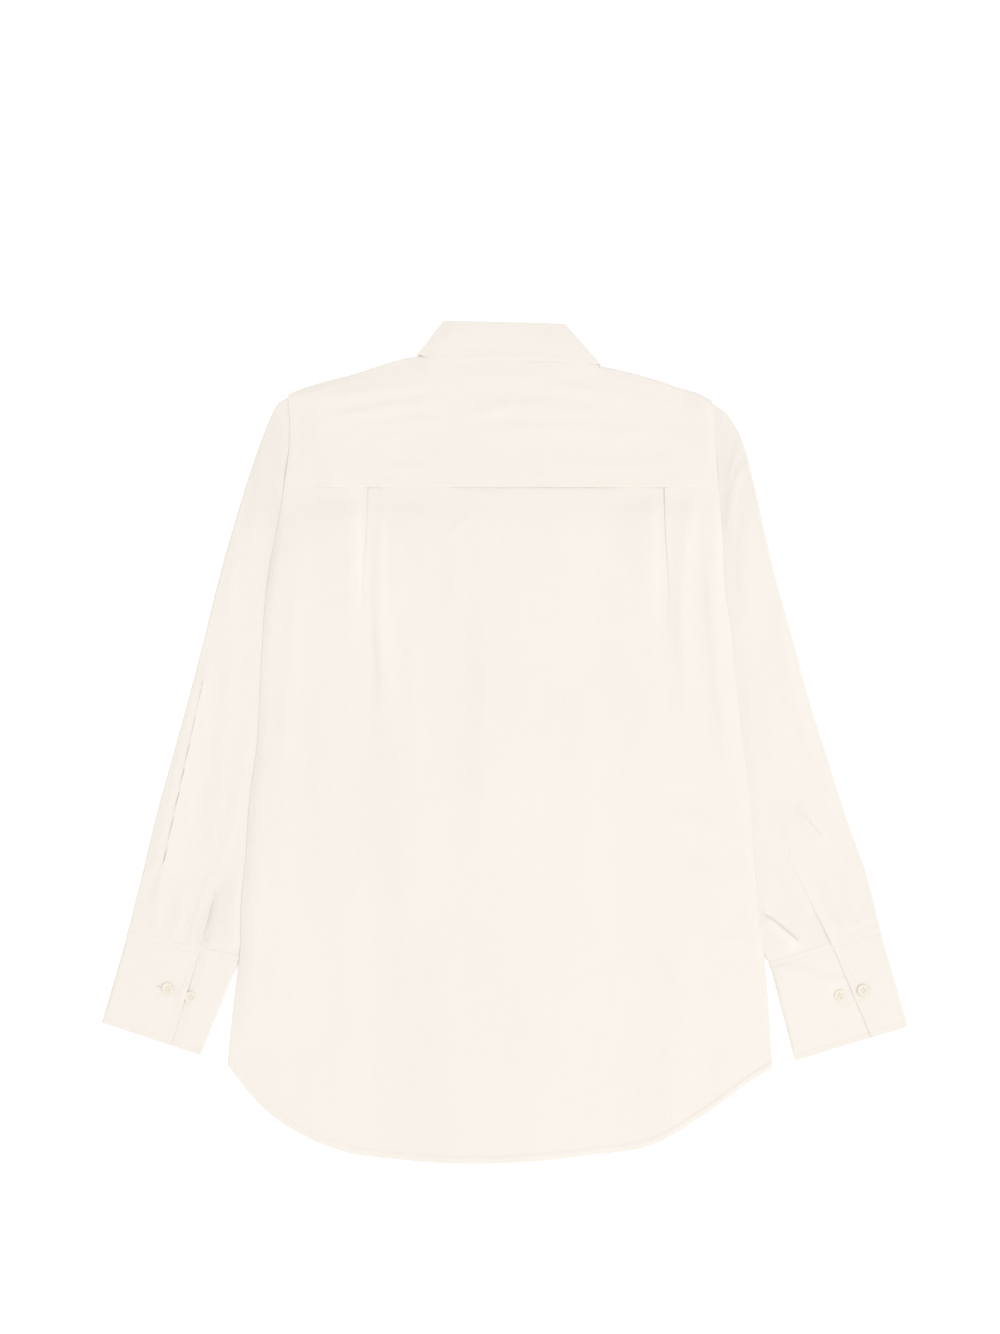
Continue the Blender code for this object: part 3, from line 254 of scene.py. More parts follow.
SLEEVE_FOLDS = {
    "left": (
        # the long crease that runs inside the outer fold, and the roll beside it
        ((-278.0, 90.0, 0.0, 5.0, 12.0), (-283.5, 58.0, 1.0, 4.5, 13.0), (-293.5, 15.0, 1.4, 4.0, 14.0), (-306.0, -40.0, 1.7, 3.8, 15.0), (-317.0, -90.0, 1.7, 3.6, 14.0), (-324.0, -120.0, 1.4, 4.0, 12.0), (-330.0, -144.0, 0.7, 5.0, 10.0), (-335.0, -165.0, 0.0, 5.0, 9.0)),
        ((-279.0, 105.0, 0.0, 6.0, 6.0), (-289.0, 60.0, 0.4, 6.5, 5.0), (-301.0, 10.0, 0.55, 7.0, 5.0), (-314.0, -42.0, 0.6, 8.0, 5.0), (-327.0, -95.0, 0.5, 8.0, 5.0), (-336.0, -125.0, 0.3, 7.0, 5.0), (-342.0, -146.0, 0.0, 6.0, 6.0)),
        ((-262.0, 120.0, 0.0, 8.0, 10.0), (-262.0, 60.0, 0.9, 8.0, 11.0), (-268.0, -10.0, 1.0, 8.0, 12.0), (-276.0, -80.0, 0.7, 9.0, 12.0), (-282.0, -120.0, 0.0, 9.0, 12.0)),
        ((-226.0, 300.0, 0.0, 6.0, 8.0), (-232.0, 262.0, 0.9, 6.0, 8.0), (-238.0, 215.0, 0.9, 6.0, 9.0), (-243.0, 165.0, 0.6, 7.0, 9.0), (-245.0, 125.0, 0.0, 7.0, 9.0)),
        ((-247.0, 225.0, 0.0, 6.0, 6.0), (-254.0, 180.0, 0.8, 6.0, 6.0), (-262.0, 130.0, 0.6, 7.0, 7.0), (-266.0, 95.0, 0.0, 7.0, 7.0)),
        ((-246.0, 40.0, 0.0, 7.0, 9.0), (-252.0, -30.0, 0.8, 7.0, 9.0), (-262.0, -90.0, 0.9, 7.0, 8.0), (-268.0, -118.0, 0.3, 7.0, 8.0), (-270.0, -135.0, 0.0, 7.0, 8.0)),
        ((-236.0, -60.0, 0.0, 10.0, 10.0), (-241.0, -110.0, 0.6, 12.0, 8.0), (-251.0, -150.0, 1.1, 14.0, 7.0), (-256.0, -185.0, 1.2, 15.0, 7.0), (-258.0, -204.0, 0.9, 15.0, 7.0)),
        ((-266.0, -122.0, 0.0, 4.0, 7.0), (-274.8, -145.0, -0.95, 3.0, 4.5), (-283.0, -175.0, -1.25, 3.0, 4.5), (-289.0, -198.0, -1.15, 3.0, 4.5)),
        # gathered tucks into the cuff
        ((-326.0, -128.0, 0.0, 6.0, 7.0), (-329.0, -150.0, 0.6, 6.0, 7.0), (-334.0, -186.0, 0.6, 5.0, 6.0), (-336.0, -196.0, 0.5, 5.0, 6.0)),
        ((-305.0, -130.0, 0.0, 7.0, 8.0), (-309.0, -158.0, 0.6, 6.0, 7.0), (-315.0, -190.0, 0.6, 5.0, 6.0), (-316.0, -200.0, 0.5, 5.0, 6.0)),
    ),
    "right": (
        # drags from the shoulder to the armhole
        ((227.0, 266.0, 0.0, 3.5, 5.0), (223.0, 256.0, 1.3, 3.2, 5.0), (217.5, 242.0, 1.3, 3.4, 6.0), (212.0, 214.0, 0.9, 4.0, 8.0), (210.0, 192.0, 0.0, 5.0, 8.0)),
        ((224.0, 292.0, 0.0, 4.0, 6.0), (219.0, 272.0, 0.8, 4.0, 5.0), (214.0, 250.0, 0.9, 4.0, 5.0), (210.0, 232.0, 0.0, 4.0, 5.0)),
        ((231.0, 232.0, 0.0, 5.0, 8.0), (227.0, 190.0, 0.9, 5.0, 9.0), (228.0, 140.0, 0.8, 6.0, 10.0), (232.0, 90.0, 0.0, 6.0, 10.0)),
        ((233.0, 80.0, 0.0, 10.0, 12.0), (243.0, 40.0, 0.9, 11.0, 13.0), (256.0, -8.0, 0.9, 11.0, 13.0), (264.0, -35.0, 0.0, 11.0, 12.0)),
        ((255.0, 150.0, 0.0, 8.0, 8.0), (264.0, 100.0, 0.6, 8.0, 8.0), (275.0, 45.0, 0.7, 8.0, 8.0), (288.0, -10.0, 0.0, 8.0, 8.0)),
        # short creases below the elbow
        ((278.0, -58.0, 0.0, 6.0, 7.0), (283.0, -67.0, 1.5, 3.8, 7.0), (296.0, -86.0, 1.5, 3.6, 8.0), (303.0, -96.0, 0.8, 4.0, 8.0), (308.0, -106.0, 0.0, 5.0, 8.0)),
        ((262.0, -58.0, 0.0, 6.0, 8.0), (268.0, -78.0, 1.0, 6.0, 8.0), (276.0, -98.0, 0.6, 7.0, 8.0), (282.0, -112.0, 0.0, 7.0, 8.0)),
        # the deep crease beside the body, above the cuff
        ((238.0, -152.0, 0.8, 6.0, 5.0), (246.0, -162.0, 0.9, 7.0, 5.0), (260.0, -174.5, 0.8, 7.0, 5.0), (276.0, -188.0, 0.5, 6.0, 5.0), (288.0, -197.0, 0.0, 6.0, 5.0)),
        ((256.0, -110.0, 0.0, 9.0, 9.0), (268.0, -132.0, 0.9, 9.0, 9.0), (282.0, -152.0, 0.8, 8.0, 8.0), (292.0, -166.0, 0.0, 8.0, 8.0)),
        ((317.0, -120.0, 0.0, 7.0, 8.0), (326.0, -146.0, 0.7, 6.0, 7.0), (338.0, -180.0, 0.7, 5.5, 6.5), (341.0, -192.0, 0.6, 5.0, 6.0)),
        ((303.0, -128.0, 0.0, 6.0, 7.0), (312.0, -152.0, 0.5, 6.0, 7.0), (325.0, -184.0, 0.5, 5.0, 6.0), (328.0, -196.0, 0.4, 5.0, 6.0)),
    ),
}
# The fronts rest on the surface, so their folds are pressed lower.
FRONT_FOLDS = (
    ((-120.0, 270.0, 0.0, 10.0, 12.0), (-126.0, 200.0, 0.55, 9.0, 12.0), (-130.0, 120.0, 0.5, 10.0, 12.0), (-128.0, 50.0, 0.0, 10.0, 12.0)),
    ((-75.0, 240.0, 0.0, 10.0, 10.0), (-78.0, 160.0, 0.5, 9.0, 12.0), (-72.0, 60.0, 0.6, 10.0, 12.0), (-74.0, -30.0, 0.0, 10.0, 12.0)),
    ((-100.0, -20.0, 0.0, 12.0, 14.0), (-104.0, -120.0, 0.6, 12.0, 14.0), (-98.0, -230.0, 0.6, 12.0, 14.0), (-96.0, -360.0, 0.4, 12.0, 14.0)),
    ((-46.0, -120.0, 0.0, 10.0, 12.0), (-50.0, -220.0, 0.5, 10.0, 12.0), (-44.0, -340.0, 0.4, 10.0, 12.0)),
    ((-160.0, -120.0, 0.0, 12.0, 12.0), (-166.0, -220.0, 0.5, 12.0, 12.0), (-160.0, -330.0, 0.4, 12.0, 12.0)),
    ((112.0, 280.0, 0.0, 10.0, 10.0), (116.0, 200.0, 0.55, 10.0, 12.0), (110.0, 100.0, 0.5, 10.0, 12.0), (108.0, 20.0, 0.0, 10.0, 12.0)),
    ((62.0, 220.0, 0.0, 9.0, 10.0), (66.0, 140.0, 0.55, 9.0, 12.0), (58.0, 30.0, 0.5, 10.0, 12.0), (60.0, -60.0, 0.0, 10.0, 12.0)),
    ((92.0, -10.0, 0.0, 12.0, 12.0), (96.0, -120.0, 0.6, 12.0, 14.0), (88.0, -240.0, 0.6, 12.0, 14.0), (90.0, -370.0, 0.4, 12.0, 14.0)),
    ((150.0, -90.0, 0.0, 12.0, 12.0), (154.0, -200.0, 0.5, 12.0, 12.0), (148.0, -330.0, 0.4, 12.0, 12.0)),
    ((-120.0, 300.0, 0.0, 8.0, 8.0), (-90.0, 288.0, 0.5, 8.0, 8.0), (-60.0, 268.0, 0.4, 8.0, 8.0), (-42.0, 248.0, 0.0, 8.0, 8.0)),
    ((112.0, 292.0, 0.0, 8.0, 8.0), (84.0, 278.0, 0.5, 8.0, 8.0), (56.0, 256.0, 0.4, 8.0, 8.0), (38.0, 236.0, 0.0, 8.0, 8.0)),
)


# ------------------------------------------------------------------ numbers
def mix(a, b, t):
    return a + (b - a) * t


def ease(t):
    t = np.clip(t, 0.0, 1.0)
    return t * t * (3.0 - 2.0 * t)


def ease_off(distance, width):
    return 1.0 - ease(np.asarray(distance, float) / width)


def cubic(at, rows, values):
    """Smooth through a table's rows, with the slopes of their neighbours."""
    at, rows, values = (np.asarray(a, float) for a in (at, rows, values))
    slope = np.gradient(values, rows)
    k = np.clip(np.searchsorted(rows, at) - 1, 0, len(rows) - 2)
    h = rows[k + 1] - rows[k]
    t = (np.clip(at, rows[0], rows[-1]) - rows[k]) / h
    return (
        (2 * t**3 - 3 * t**2 + 1) * values[k]
        + (t**3 - 2 * t**2 + t) * h * slope[k]
        + (3 * t**2 - 2 * t**3) * values[k + 1]
        + (t**3 - t**2) * h * slope[k + 1]
    )


LATTICE = np.random.RandomState(41).uniform(-1.0, 1.0, (8, 128, 128))


def noise(x, y, size_x, size_y, seed, octaves=2):
    """Smooth uneven height, -1 to 1, with lumps about size_x by size_y."""
    total, much = np.zeros(np.shape(x)), 0.0
    for octave in range(octaves):
        table = LATTICE[(seed + 3 * octave) % 8]
        u = np.asarray(x, float) / size_x * 2.0**octave + 17.3 * seed + 500.0
        v = np.asarray(y, float) / size_y * 2.0**octave + 9.1 * seed + 500.0
        i, j = np.floor(u).astype(int), np.floor(v).astype(int)
        s, t = ease(u - i), ease(v - j)
        i0, j0, i1, j1 = i % 128, j % 128, (i + 1) % 128, (j + 1) % 128
        total += 0.5**octave * mix(
            mix(table[i0, j0], table[i1, j0], s), mix(table[i0, j1], table[i1, j1], s), t
        )
        much += 0.5**octave
    return total / much


def fold_height(folds, x, y):
    """The folds at each point: the ridges' smooth maximum, less the troughs."""
    x, y = np.asarray(x, float), np.asarray(y, float)
    total = np.zeros(x.shape)
    for rows in folds:
        rows = np.array(rows)
        reach = 3.0 * rows[:, 3:].max()
        near = (
            (x > rows[:, 0].min() - reach)
            & (x < rows[:, 0].max() + reach)
            & (y > rows[:, 1].min() - reach)
            & (y < rows[:, 1].max() + reach)
        )
        if not near.any():
            continue
        # A finer line through the rows, smooth in place, height and width.
        at = np.r_[0.0, np.cumsum(np.hypot(*np.diff(rows[:, :2], axis=0).T))]
        fine = np.linspace(0.0, at[-1], max(5, int(at[-1] / 9.0)))
        line = np.stack([cubic(fine, at, rows[:, k]) for k in range(5)], 1)
        line[:, 3:] = np.maximum(line[:, 3:], 2.0)
        px, py = x[near], y[near]
        best = np.full(px.shape, 1e9)
        made = np.zeros(px.shape)
        for a, b in zip(line[:-1], line[1:]):
            dx, dy = b[0] - a[0], b[1] - a[1]
            length = math.hypot(dx, dy)
            if length < 1e-6:
                continue
            t = np.clip(((px - a[0]) * dx + (py - a[1]) * dy) / length**2, 0.0, 1.0)
            off_x, off_y = px - a[0] - t * dx, py - a[1] - t * dy
            away = np.hypot(off_x, off_y)
            side = off_x if abs(dy) > abs(dx) else off_y
            height = mix(a[2], b[2], t)
            low, high = mix(a[3], b[3], t), mix(a[4], b[4], t)
            # Each half has its own width, joined without a kink on the crest.
            width = np.where(side < 0.0, low, high)
            value = height * np.exp(-((away / width) ** 2))
            closer = away < best
            best = np.where(closer, away, best)
            made = np.where(closer, value, made)
        total[near] += made
    return total


# ------------------------------------------------------------- shared forms
def body_edge(side, y):
    values = BODY[:, 1 if side == "left" else 2]
    return cubic(y, BODY[:, 0], values)


def hem_y(x):
    return cubic(x, HEM[:, 0], HEM[:, 1])


def shoulder_y(x):
    return np.interp(x, SHOULDER[:, 0], SHOULDER[:, 1])


def sign_of(side):
    return -1.0 if side == "left" else 1.0


def _reach_table(side):
    sign, table = sign_of(side), SLEEVE[side]
    heights = np.arange(-215.0, 282.0, 1.0)
    lines = [(r[0:2], r[2:4]) for r in table]
    lines += [(a[2:4], b[2:4]) for a, b in zip(table[:-1], table[1:])]
    reach = np.full(heights.shape, -1e9)
    for a, b in lines:
        if abs(a[1] - b[1]) < 1e-6:
            continue
        t = (heights - a[1]) / (b[1] - a[1])
        inside = (t >= 0.0) & (t <= 1.0)
        # How far in, so larger is nearer to the centre.
        reach = np.where(inside, np.maximum(reach, -sign * mix(a[0], b[0], t)), reach)
    good = reach > -1e8
    return heights[good], reach[good]


REACH = {side: _reach_table(side) for side in ("left", "right")}


def sleeve_lift(x, y):
    """How much of SLEEVE_LIFT the body takes: 1 over the tucked sleeves."""
    share = np.zeros(np.shape(x))
    for side in ("left", "right"):
        sign = sign_of(side)
        lowest = SLEEVE[side][-1][3]
        heights, reach = REACH[side]
        inner_x = -sign * np.interp(np.clip(y, lowest, LIFT_NONE_Y), heights, reach)
        part = ease_off(sign * (inner_x - x) - LIFT_MARGIN, LIFT_SLOPE)
        share = np.where(sign * (x - CENTRE_X) >= 0.0, part, share)
    share = share * ease_off(y - LIFT_FULL_Y, LIFT_NONE_Y - LIFT_FULL_Y)
    return share * ease_off(LIFT_FULL_LOW_Y - y, LIFT_FULL_LOW_Y - LIFT_NONE_LOW_Y)


def band_lift(x, y):
    beside = ease_off(np.abs(x - CENTRE_X) - BAND_WIDTH / 2 - 0.5, 26.0)
    return beside * ease_off(y - STAND_TOP_Y - 2.0, 36.0)


def collar_lift(x, y):
    beside = np.maximum(np.maximum(NECK_LEFT[0] - 11.0 - x, x - NECK_RIGHT[0] - 11.0), 0.0)
    below = np.maximum(COLLAR_POINT["left"][1] - 4.0 - y, 0.0)
    return ease_off(np.hypot(beside, below), 80.0)


def front_z(side, x, y):
    band = BUTTON_SIDE_LIFT if side == "left" else BUTTONHOLE_SIDE_LIFT
    return WALL / 2 + np.maximum(
        np.maximum(SLEEVE_LIFT * sleeve_lift(x, y), band * band_lift(x, y)),
        COLLAR_LIFT * collar_lift(x, y),
    )


# The back is drawn over what lies below it, so it falls away from the bands
# and the sleeves in long slopes: no slope bends tighter than DRAPE_RADIUS.
RASTER_X = np.arange(-300.0, 300.1, 2.0)
RASTER_Y = np.arange(-430.0, 430.1, 2.0)
DRAPE_RADIUS = 1300.0


def _soft_base():
    gx, gy = np.meshgrid(RASTER_X, RASTER_Y)
    lifts = front_z("left", gx, gy)
    for axis in (0, 1):
        best = lifts.copy()
        for k in range(1, 56):
            fall = (2.0 * k) ** 2 / (2.0 * DRAPE_RADIUS)
            for away in (k, -k):
                moved = np.roll(lifts, away, axis) - fall
                # Nothing is carried round from the other edge.
                carried = slice(0, k) if away > 0 else slice(-k, None)
                if axis == 0:
                    moved[carried, :] = -9.0
                else:
                    moved[:, carried] = -9.0
                best = np.maximum(best, moved)
        lifts = best
    spread = np.exp(-0.5 * (np.arange(-21, 22) / 4.5) ** 2)
    spread /= spread.sum()
    for axis in (0, 1):
        pad = [(21, 21) if k == axis else (0, 0) for k in (0, 1)]
        padded = np.pad(lifts, pad, mode="edge")
        lifts = np.apply_along_axis(lambda row: np.convolve(row, spread, "valid"), axis, padded)
    return lifts


SOFT_BASE = _soft_base()


def back_base(x, y):
    """The back's middle surface before its folds."""
    u = np.clip((np.asarray(x, float) - RASTER_X[0]) / 2.0, 0, len(RASTER_X) - 1.001)
    v = np.clip((np.asarray(y, float) - RASTER_Y[0]) / 2.0, 0, len(RASTER_Y) - 1.001)
    i, j = np.floor(v).astype(int), np.floor(u).astype(int)
    s, t = u - j, v - i
    low = mix(SOFT_BASE[i, j], SOFT_BASE[i, j + 1], s)
    high = mix(SOFT_BASE[i + 1, j], SOFT_BASE[i + 1, j + 1], s)
    settled = np.minimum(body_edge("right", y) - x, x - body_edge("left", y))
    at_edge = mix(np.where(x < CENTRE_X, 0.78, 0.56), 1.70, ease((y - 236.0) / 40.0))
    return mix(low, high, t) + mix(at_edge, 1.5, ease(settled / 45.0))


def neckline(x, left, right, bottom_y):
    end_x = np.where(x < CENTRE_X, left[0], right[0])
    end_y = np.where(x < CENTRE_X, left[1], right[1])
    c = np.clip((x - CENTRE_X) / (end_x - CENTRE_X), 0.0, 1.0)
    return bottom_y + (end_y - bottom_y) * (1.0 - np.sqrt(np.maximum(1.0 - c * c, 0.0)))


def neck_back_y(x):
    return mix(NECK_LEFT[1], NECK_RIGHT[1], (x - NECK_LEFT[0]) / (NECK_RIGHT[0] - NECK_LEFT[0]))


# ---------------------------------------------------------------- materials
def under_fall(x, past_neck, past_edge):
    """How far up a piece goes at the back neck, so that the fall covers its edge."""
    s = (x - FALL_SIDE["left"][0][0]) / (FALL_SIDE["right"][0][0] - FALL_SIDE["left"][0][0])
    fall_y = np.minimum(mix(FALL_SIDE["left"][0][1], FALL_SIDE["right"][0][1], s), FALL_EDGE_Y)
    least = neck_back_y(x) + past_neck
    return least + np.maximum(fall_y + past_edge - least, 0.0) * ease((NECK_RIGHT[0] + 1.0 - x) / 5.0)


def socket(node, name):
    return node.inputs[name]


def cotton_material(name, base, deep, weave_mm=0.42):
    """Plain cotton poplin: two close creams, thread streaks and a fine weave."""
    made = bpy.data.materials.new(name)
    made.use_nodes = True
    tree = made.node_tree
    nodes, link = tree.nodes, tree.links.new
    shader = nodes["Principled BSDF"]
    grain = nodes.new("ShaderNodeAttribute")
    grain.attribute_type = "GEOMETRY"
    grain.attribute_name = "grain"

    def scaled(x, y, z=1.0):
        node = nodes.new("ShaderNodeMapping")
        node.vector_type = "POINT"
        socket(node, "Scale").default_value = (x, y, z)
        link(grain.outputs["Vector"], socket(node, "Vector"))
        return node.outputs["Vector"]

    def noise_of(vector, detail, roughness=0.5):
        node = nodes.new("ShaderNodeTexNoise")
        node.noise_dimensions = "3D"
        socket(node, "Scale").default_value = 1.0
        socket(node, "Detail").default_value = detail
        socket(node, "Roughness").default_value = roughness
        link(vector, socket(node, "Vector"))
        return node.outputs["Fac"]

    def math_of(kind, a, b=None):
        node = nodes.new("ShaderNodeMath")
        node.operation = kind
        for k, value in enumerate((a, b)):
            if value is None:
                continue
            if isinstance(value, (int, float)):
                node.inputs[k].default_value = value
            else:
                link(value, node.inputs[k])
        return node.outputs[0]

    # The grain attribute is in metres of cloth, along and across the threads.
    split = nodes.new("ShaderNodeSeparateXYZ")
    link(grain.outputs["Vector"], split.inputs[0])
    turns = 2.0 * math.pi / (weave_mm * MM)
    warp = math_of("SINE", math_of("MULTIPLY", split.outputs[0], turns))
    weft = math_of("SINE", math_of("MULTIPLY", split.outputs[1], turns * 0.8))
    weave = math_of("ADD", math_of("MULTIPLY", warp, weft), math_of("MULTIPLY", weft, 0.5))
    streak_warp = noise_of(scaled(1500.0, 40.0), 2.0)
    streak_weft = noise_of(scaled(40.0, 1500.0), 2.0)
    streaks = math_of("ADD", streak_warp, streak_weft)
    soft = noise_of(scaled(9.0, 5.0), 3.0)
    crumple = noise_of(scaled(70.0, 45.0), 3.0, 0.55)
    fine = noise_of(scaled(260.0, 260.0), 2.0)

    ramp = nodes.new("ShaderNodeValToRGB")
    ramp.color_ramp.elements[0].position = 0.30
    ramp.color_ramp.elements[0].color = (*deep, 1.0)
    ramp.color_ramp.elements[1].position = 0.62
    ramp.color_ramp.elements[1].color = (*base, 1.0)
    tone = math_of("ADD", math_of("MULTIPLY", streaks, 0.32), math_of("MULTIPLY", soft, 0.36))
    link(tone, ramp.inputs["Fac"])
    link(ramp.outputs["Color"], socket(shader, "Base Color"))

    rough = math_of("ADD", math_of("MULTIPLY", fine, 0.12), 0.78)
    link(rough, socket(shader, "Roughness"))
    socket(shader, "Specular IOR Level").default_value = 0.25
    socket(shader, "Sheen Weight").default_value = 0.12
    socket(shader, "Sheen Roughness").default_value = 0.45
    socket(shader, "Sheen Tint").default_value = (1.0, 0.98, 0.94, 1.0)

    normal = None
    for height, depth_mm in ((crumple, 0.42), (fine, 0.05), (streaks, 0.035), (weave, 0.03)):
        bump = nodes.new("ShaderNodeBump")
        socket(bump, "Strength").default_value = 1.0
        socket(bump, "Distance").default_value = depth_mm * MM
        link(height, socket(bump, "Height"))
        if normal is not None:
            link(normal, socket(bump, "Normal"))
        normal = bump.outputs["Normal"]
    link(normal, socket(shader, "Normal"))
    return made


def plain_material(name, base, deep, roughness, scale, bump_mm, coat=0.0):
    made = bpy.data.materials.new(name)
    made.use_nodes = True
    tree = made.node_tree
    nodes, link = tree.nodes, tree.links.new
    shader = nodes["Principled BSDF"]
    place = nodes.new("ShaderNodeTexCoord")
    spots = nodes.new("ShaderNodeTexNoise")
    socket(spots, "Scale").default_value = scale
    socket(spots, "Detail").default_value = 4.0
    link(place.outputs["Object"], socket(spots, "Vector"))
    ramp = nodes.new("ShaderNodeValToRGB")
    ramp.color_ramp.elements[0].position = 0.35
    ramp.color_ramp.elements[0].color = (*deep, 1.0)
    ramp.color_ramp.elements[1].position = 0.68
    ramp.color_ramp.elements[1].color = (*base, 1.0)
    link(spots.outputs["Fac"], ramp.inputs["Fac"])
    link(ramp.outputs["Color"], socket(shader, "Base Color"))
    socket(shader, "Roughness").default_value = roughness
    if coat:
        socket(shader, "Coat Weight").default_value = coat
        socket(shader, "Coat Roughness").default_value = 0.12
    bump = nodes.new("ShaderNodeBump")
    socket(bump, "Strength").default_value = 1.0
    socket(bump, "Distance").default_value = bump_mm * MM
    link(spots.outputs["Fac"], socket(bump, "Height"))
    link(bump.outputs["Normal"], socket(shader, "Normal"))
    return made


CREAM = (0.861, 0.815, 0.758)
CREAM_DEEP = (0.846, 0.793, 0.726)
COTTON = cotton_material("cotton_poplin", CREAM, CREAM_DEEP)
THREAD = plain_material("sewing_thread", (0.865, 0.818, 0.755), (0.84, 0.785, 0.715), 0.6, 900.0, 0.05)
SHELL = plain_material("button_cream", (0.842, 0.786, 0.678), (0.795, 0.732, 0.62), 0.3, 160.0, 0.02, 0.3)


def add_mesh(name, points, faces, material, grain=None, body="root"):
    """One piece from points in millimetres."""
    points = np.asarray(points, float) * MM
    used, index = np.unique(np.concatenate([np.ravel(f) for f in faces]), return_inverse=True)
    keep = points[used]
    rebuilt, start = [], 0
    for block in faces:
        count = np.size(block)
        rebuilt.append(index[start : start + count].reshape(np.shape(block)))
        start += count
    mesh = bpy.data.meshes.new(name)
    mesh.from_pydata(keep.tolist(), [], [f for block in rebuilt for f in block.tolist()])
    mesh.validate(verbose=False)
    mesh.polygons.foreach_set("use_smooth", np.ones(len(mesh.polygons), bool))
    if grain is not None:
        layer = mesh.attributes.new("grain", "FLOAT_VECTOR", "POINT")
        flat = np.zeros((len(keep), 3), np.float32)
        flat[:, :2] = np.asarray(grain, float)[used] * MM
        layer.data.foreach_set("vector", flat.ravel())
    mesh.update()
    piece = bpy.data.objects.new(name, mesh)
    bpy.context.scene.collection.objects.link(piece)
    mesh.materials.append(material)
    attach(piece, body)
    return piece


def surface_normals(grid, closed=False):
    if closed:
        wide = np.concatenate([grid[:, -1:], grid, grid[:, :1]], 1)
        across = (wide[:, 2:] - wide[:, :-2]) / 2.0
    else:
        across = np.gradient(grid, axis=1)
    along = np.gradient(grid, axis=0)
    normal = np.cross(across, along)
    return normal / np.maximum(np.linalg.norm(normal, axis=2, keepdims=True), 1e-9)


def shell(name, grid, half=HALF, closed=False, keep=None, grain=None, flip=False, material=None, low=None, thick=None):
    """Cloth on a grid's middle surface: two faces and a rounded rim."""
    rows, columns = grid.shape[:2]
    normal = surface_normals(grid, closed)
    if flip:
        normal = -normal
    half_up = half if thick is None else thick
    half_down = half if low is None else low
    flat = grid.reshape(-1, 3)
    n = normal.reshape(-1, 3)
    up = np.broadcast_to(np.asarray(half_up, float), (rows, columns)).reshape(-1, 1)
    down = np.broadcast_to(np.asarray(half_down, float), (rows, columns)).reshape(-1, 1)
    index = np.arange(rows * columns).reshape(rows, columns)
    if closed:
        index = np.concatenate([index, index[:, :1]], 1)
    cells = np.stack([index[:-1, :-1], index[:-1, 1:], index[1:, 1:], index[1:, :-1]], -1)
    cells = cells[keep] if keep is not None else cells.reshape(-1, 4)
    if flip:
        cells = cells[:, ::-1]
    edges = np.concatenate([cells[:, [k, (k + 1) % 4]] for k in range(4)])
    key = np.sort(edges, axis=1)
    _, first, uses = np.unique(key[:, 0] * (rows * columns) + key[:, 1], return_index=True, return_counts=True)
    rim = edges[first[uses == 1]]
    # The rim's middle stands out by half of the cloth's thickness.
    run = flat[rim[:, 1]] - flat[rim[:, 0]]
    out = np.cross(run, (n[rim[:, 0]] + n[rim[:, 1]]) / 2.0)
    out /= np.maximum(np.linalg.norm(out, axis=1, keepdims=True), 1e-9)
    pushed = np.zeros(flat.shape)
    np.add.at(pushed, rim[:, 0], out)
    np.add.at(pushed, rim[:, 1], out)
    pushed /= np.maximum(np.linalg.norm(pushed, axis=1, keepdims=True), 1e-9)
    count = rows * columns
    points = np.concatenate([flat + n * up, flat - n * down, flat + n * (up - down) / 2.0 + pushed * (up + down) * 0.42])
    a, b = rim[:, 0], rim[:, 1]
    faces = [
        cells,
        cells[:, ::-1] + count,
        np.stack([a + 2 * count, b + 2 * count, b, a], 1),
        np.stack([a + count, b + count, b + 2 * count, a + 2 * count], 1),
    ]
    spread = None
    if grain is not None:
        spread = np.tile(np.asarray(grain, float).reshape(-1, 2), (3, 1))
    return add_mesh(name, points, faces, material or COTTON, spread)


def on_grid(grid, normal, i, j):
    """Places and normals at fractional rows and columns."""
    i = np.clip(i, 0, grid.shape[0] - 1.001)
    j = np.clip(j, 0, grid.shape[1] - 1.001)
    a, b = np.floor(i).astype(int), np.floor(j).astype(int)
    s, t = (i - a)[:, None], (j - b)[:, None]

    def of(field):
        return mix(mix(field[a, b], field[a + 1, b], s), mix(field[a, b + 1], field[a + 1, b + 1], s), t)

    n = of(normal)
    return of(grid), n / np.linalg.norm(n, axis=1, keepdims=True)


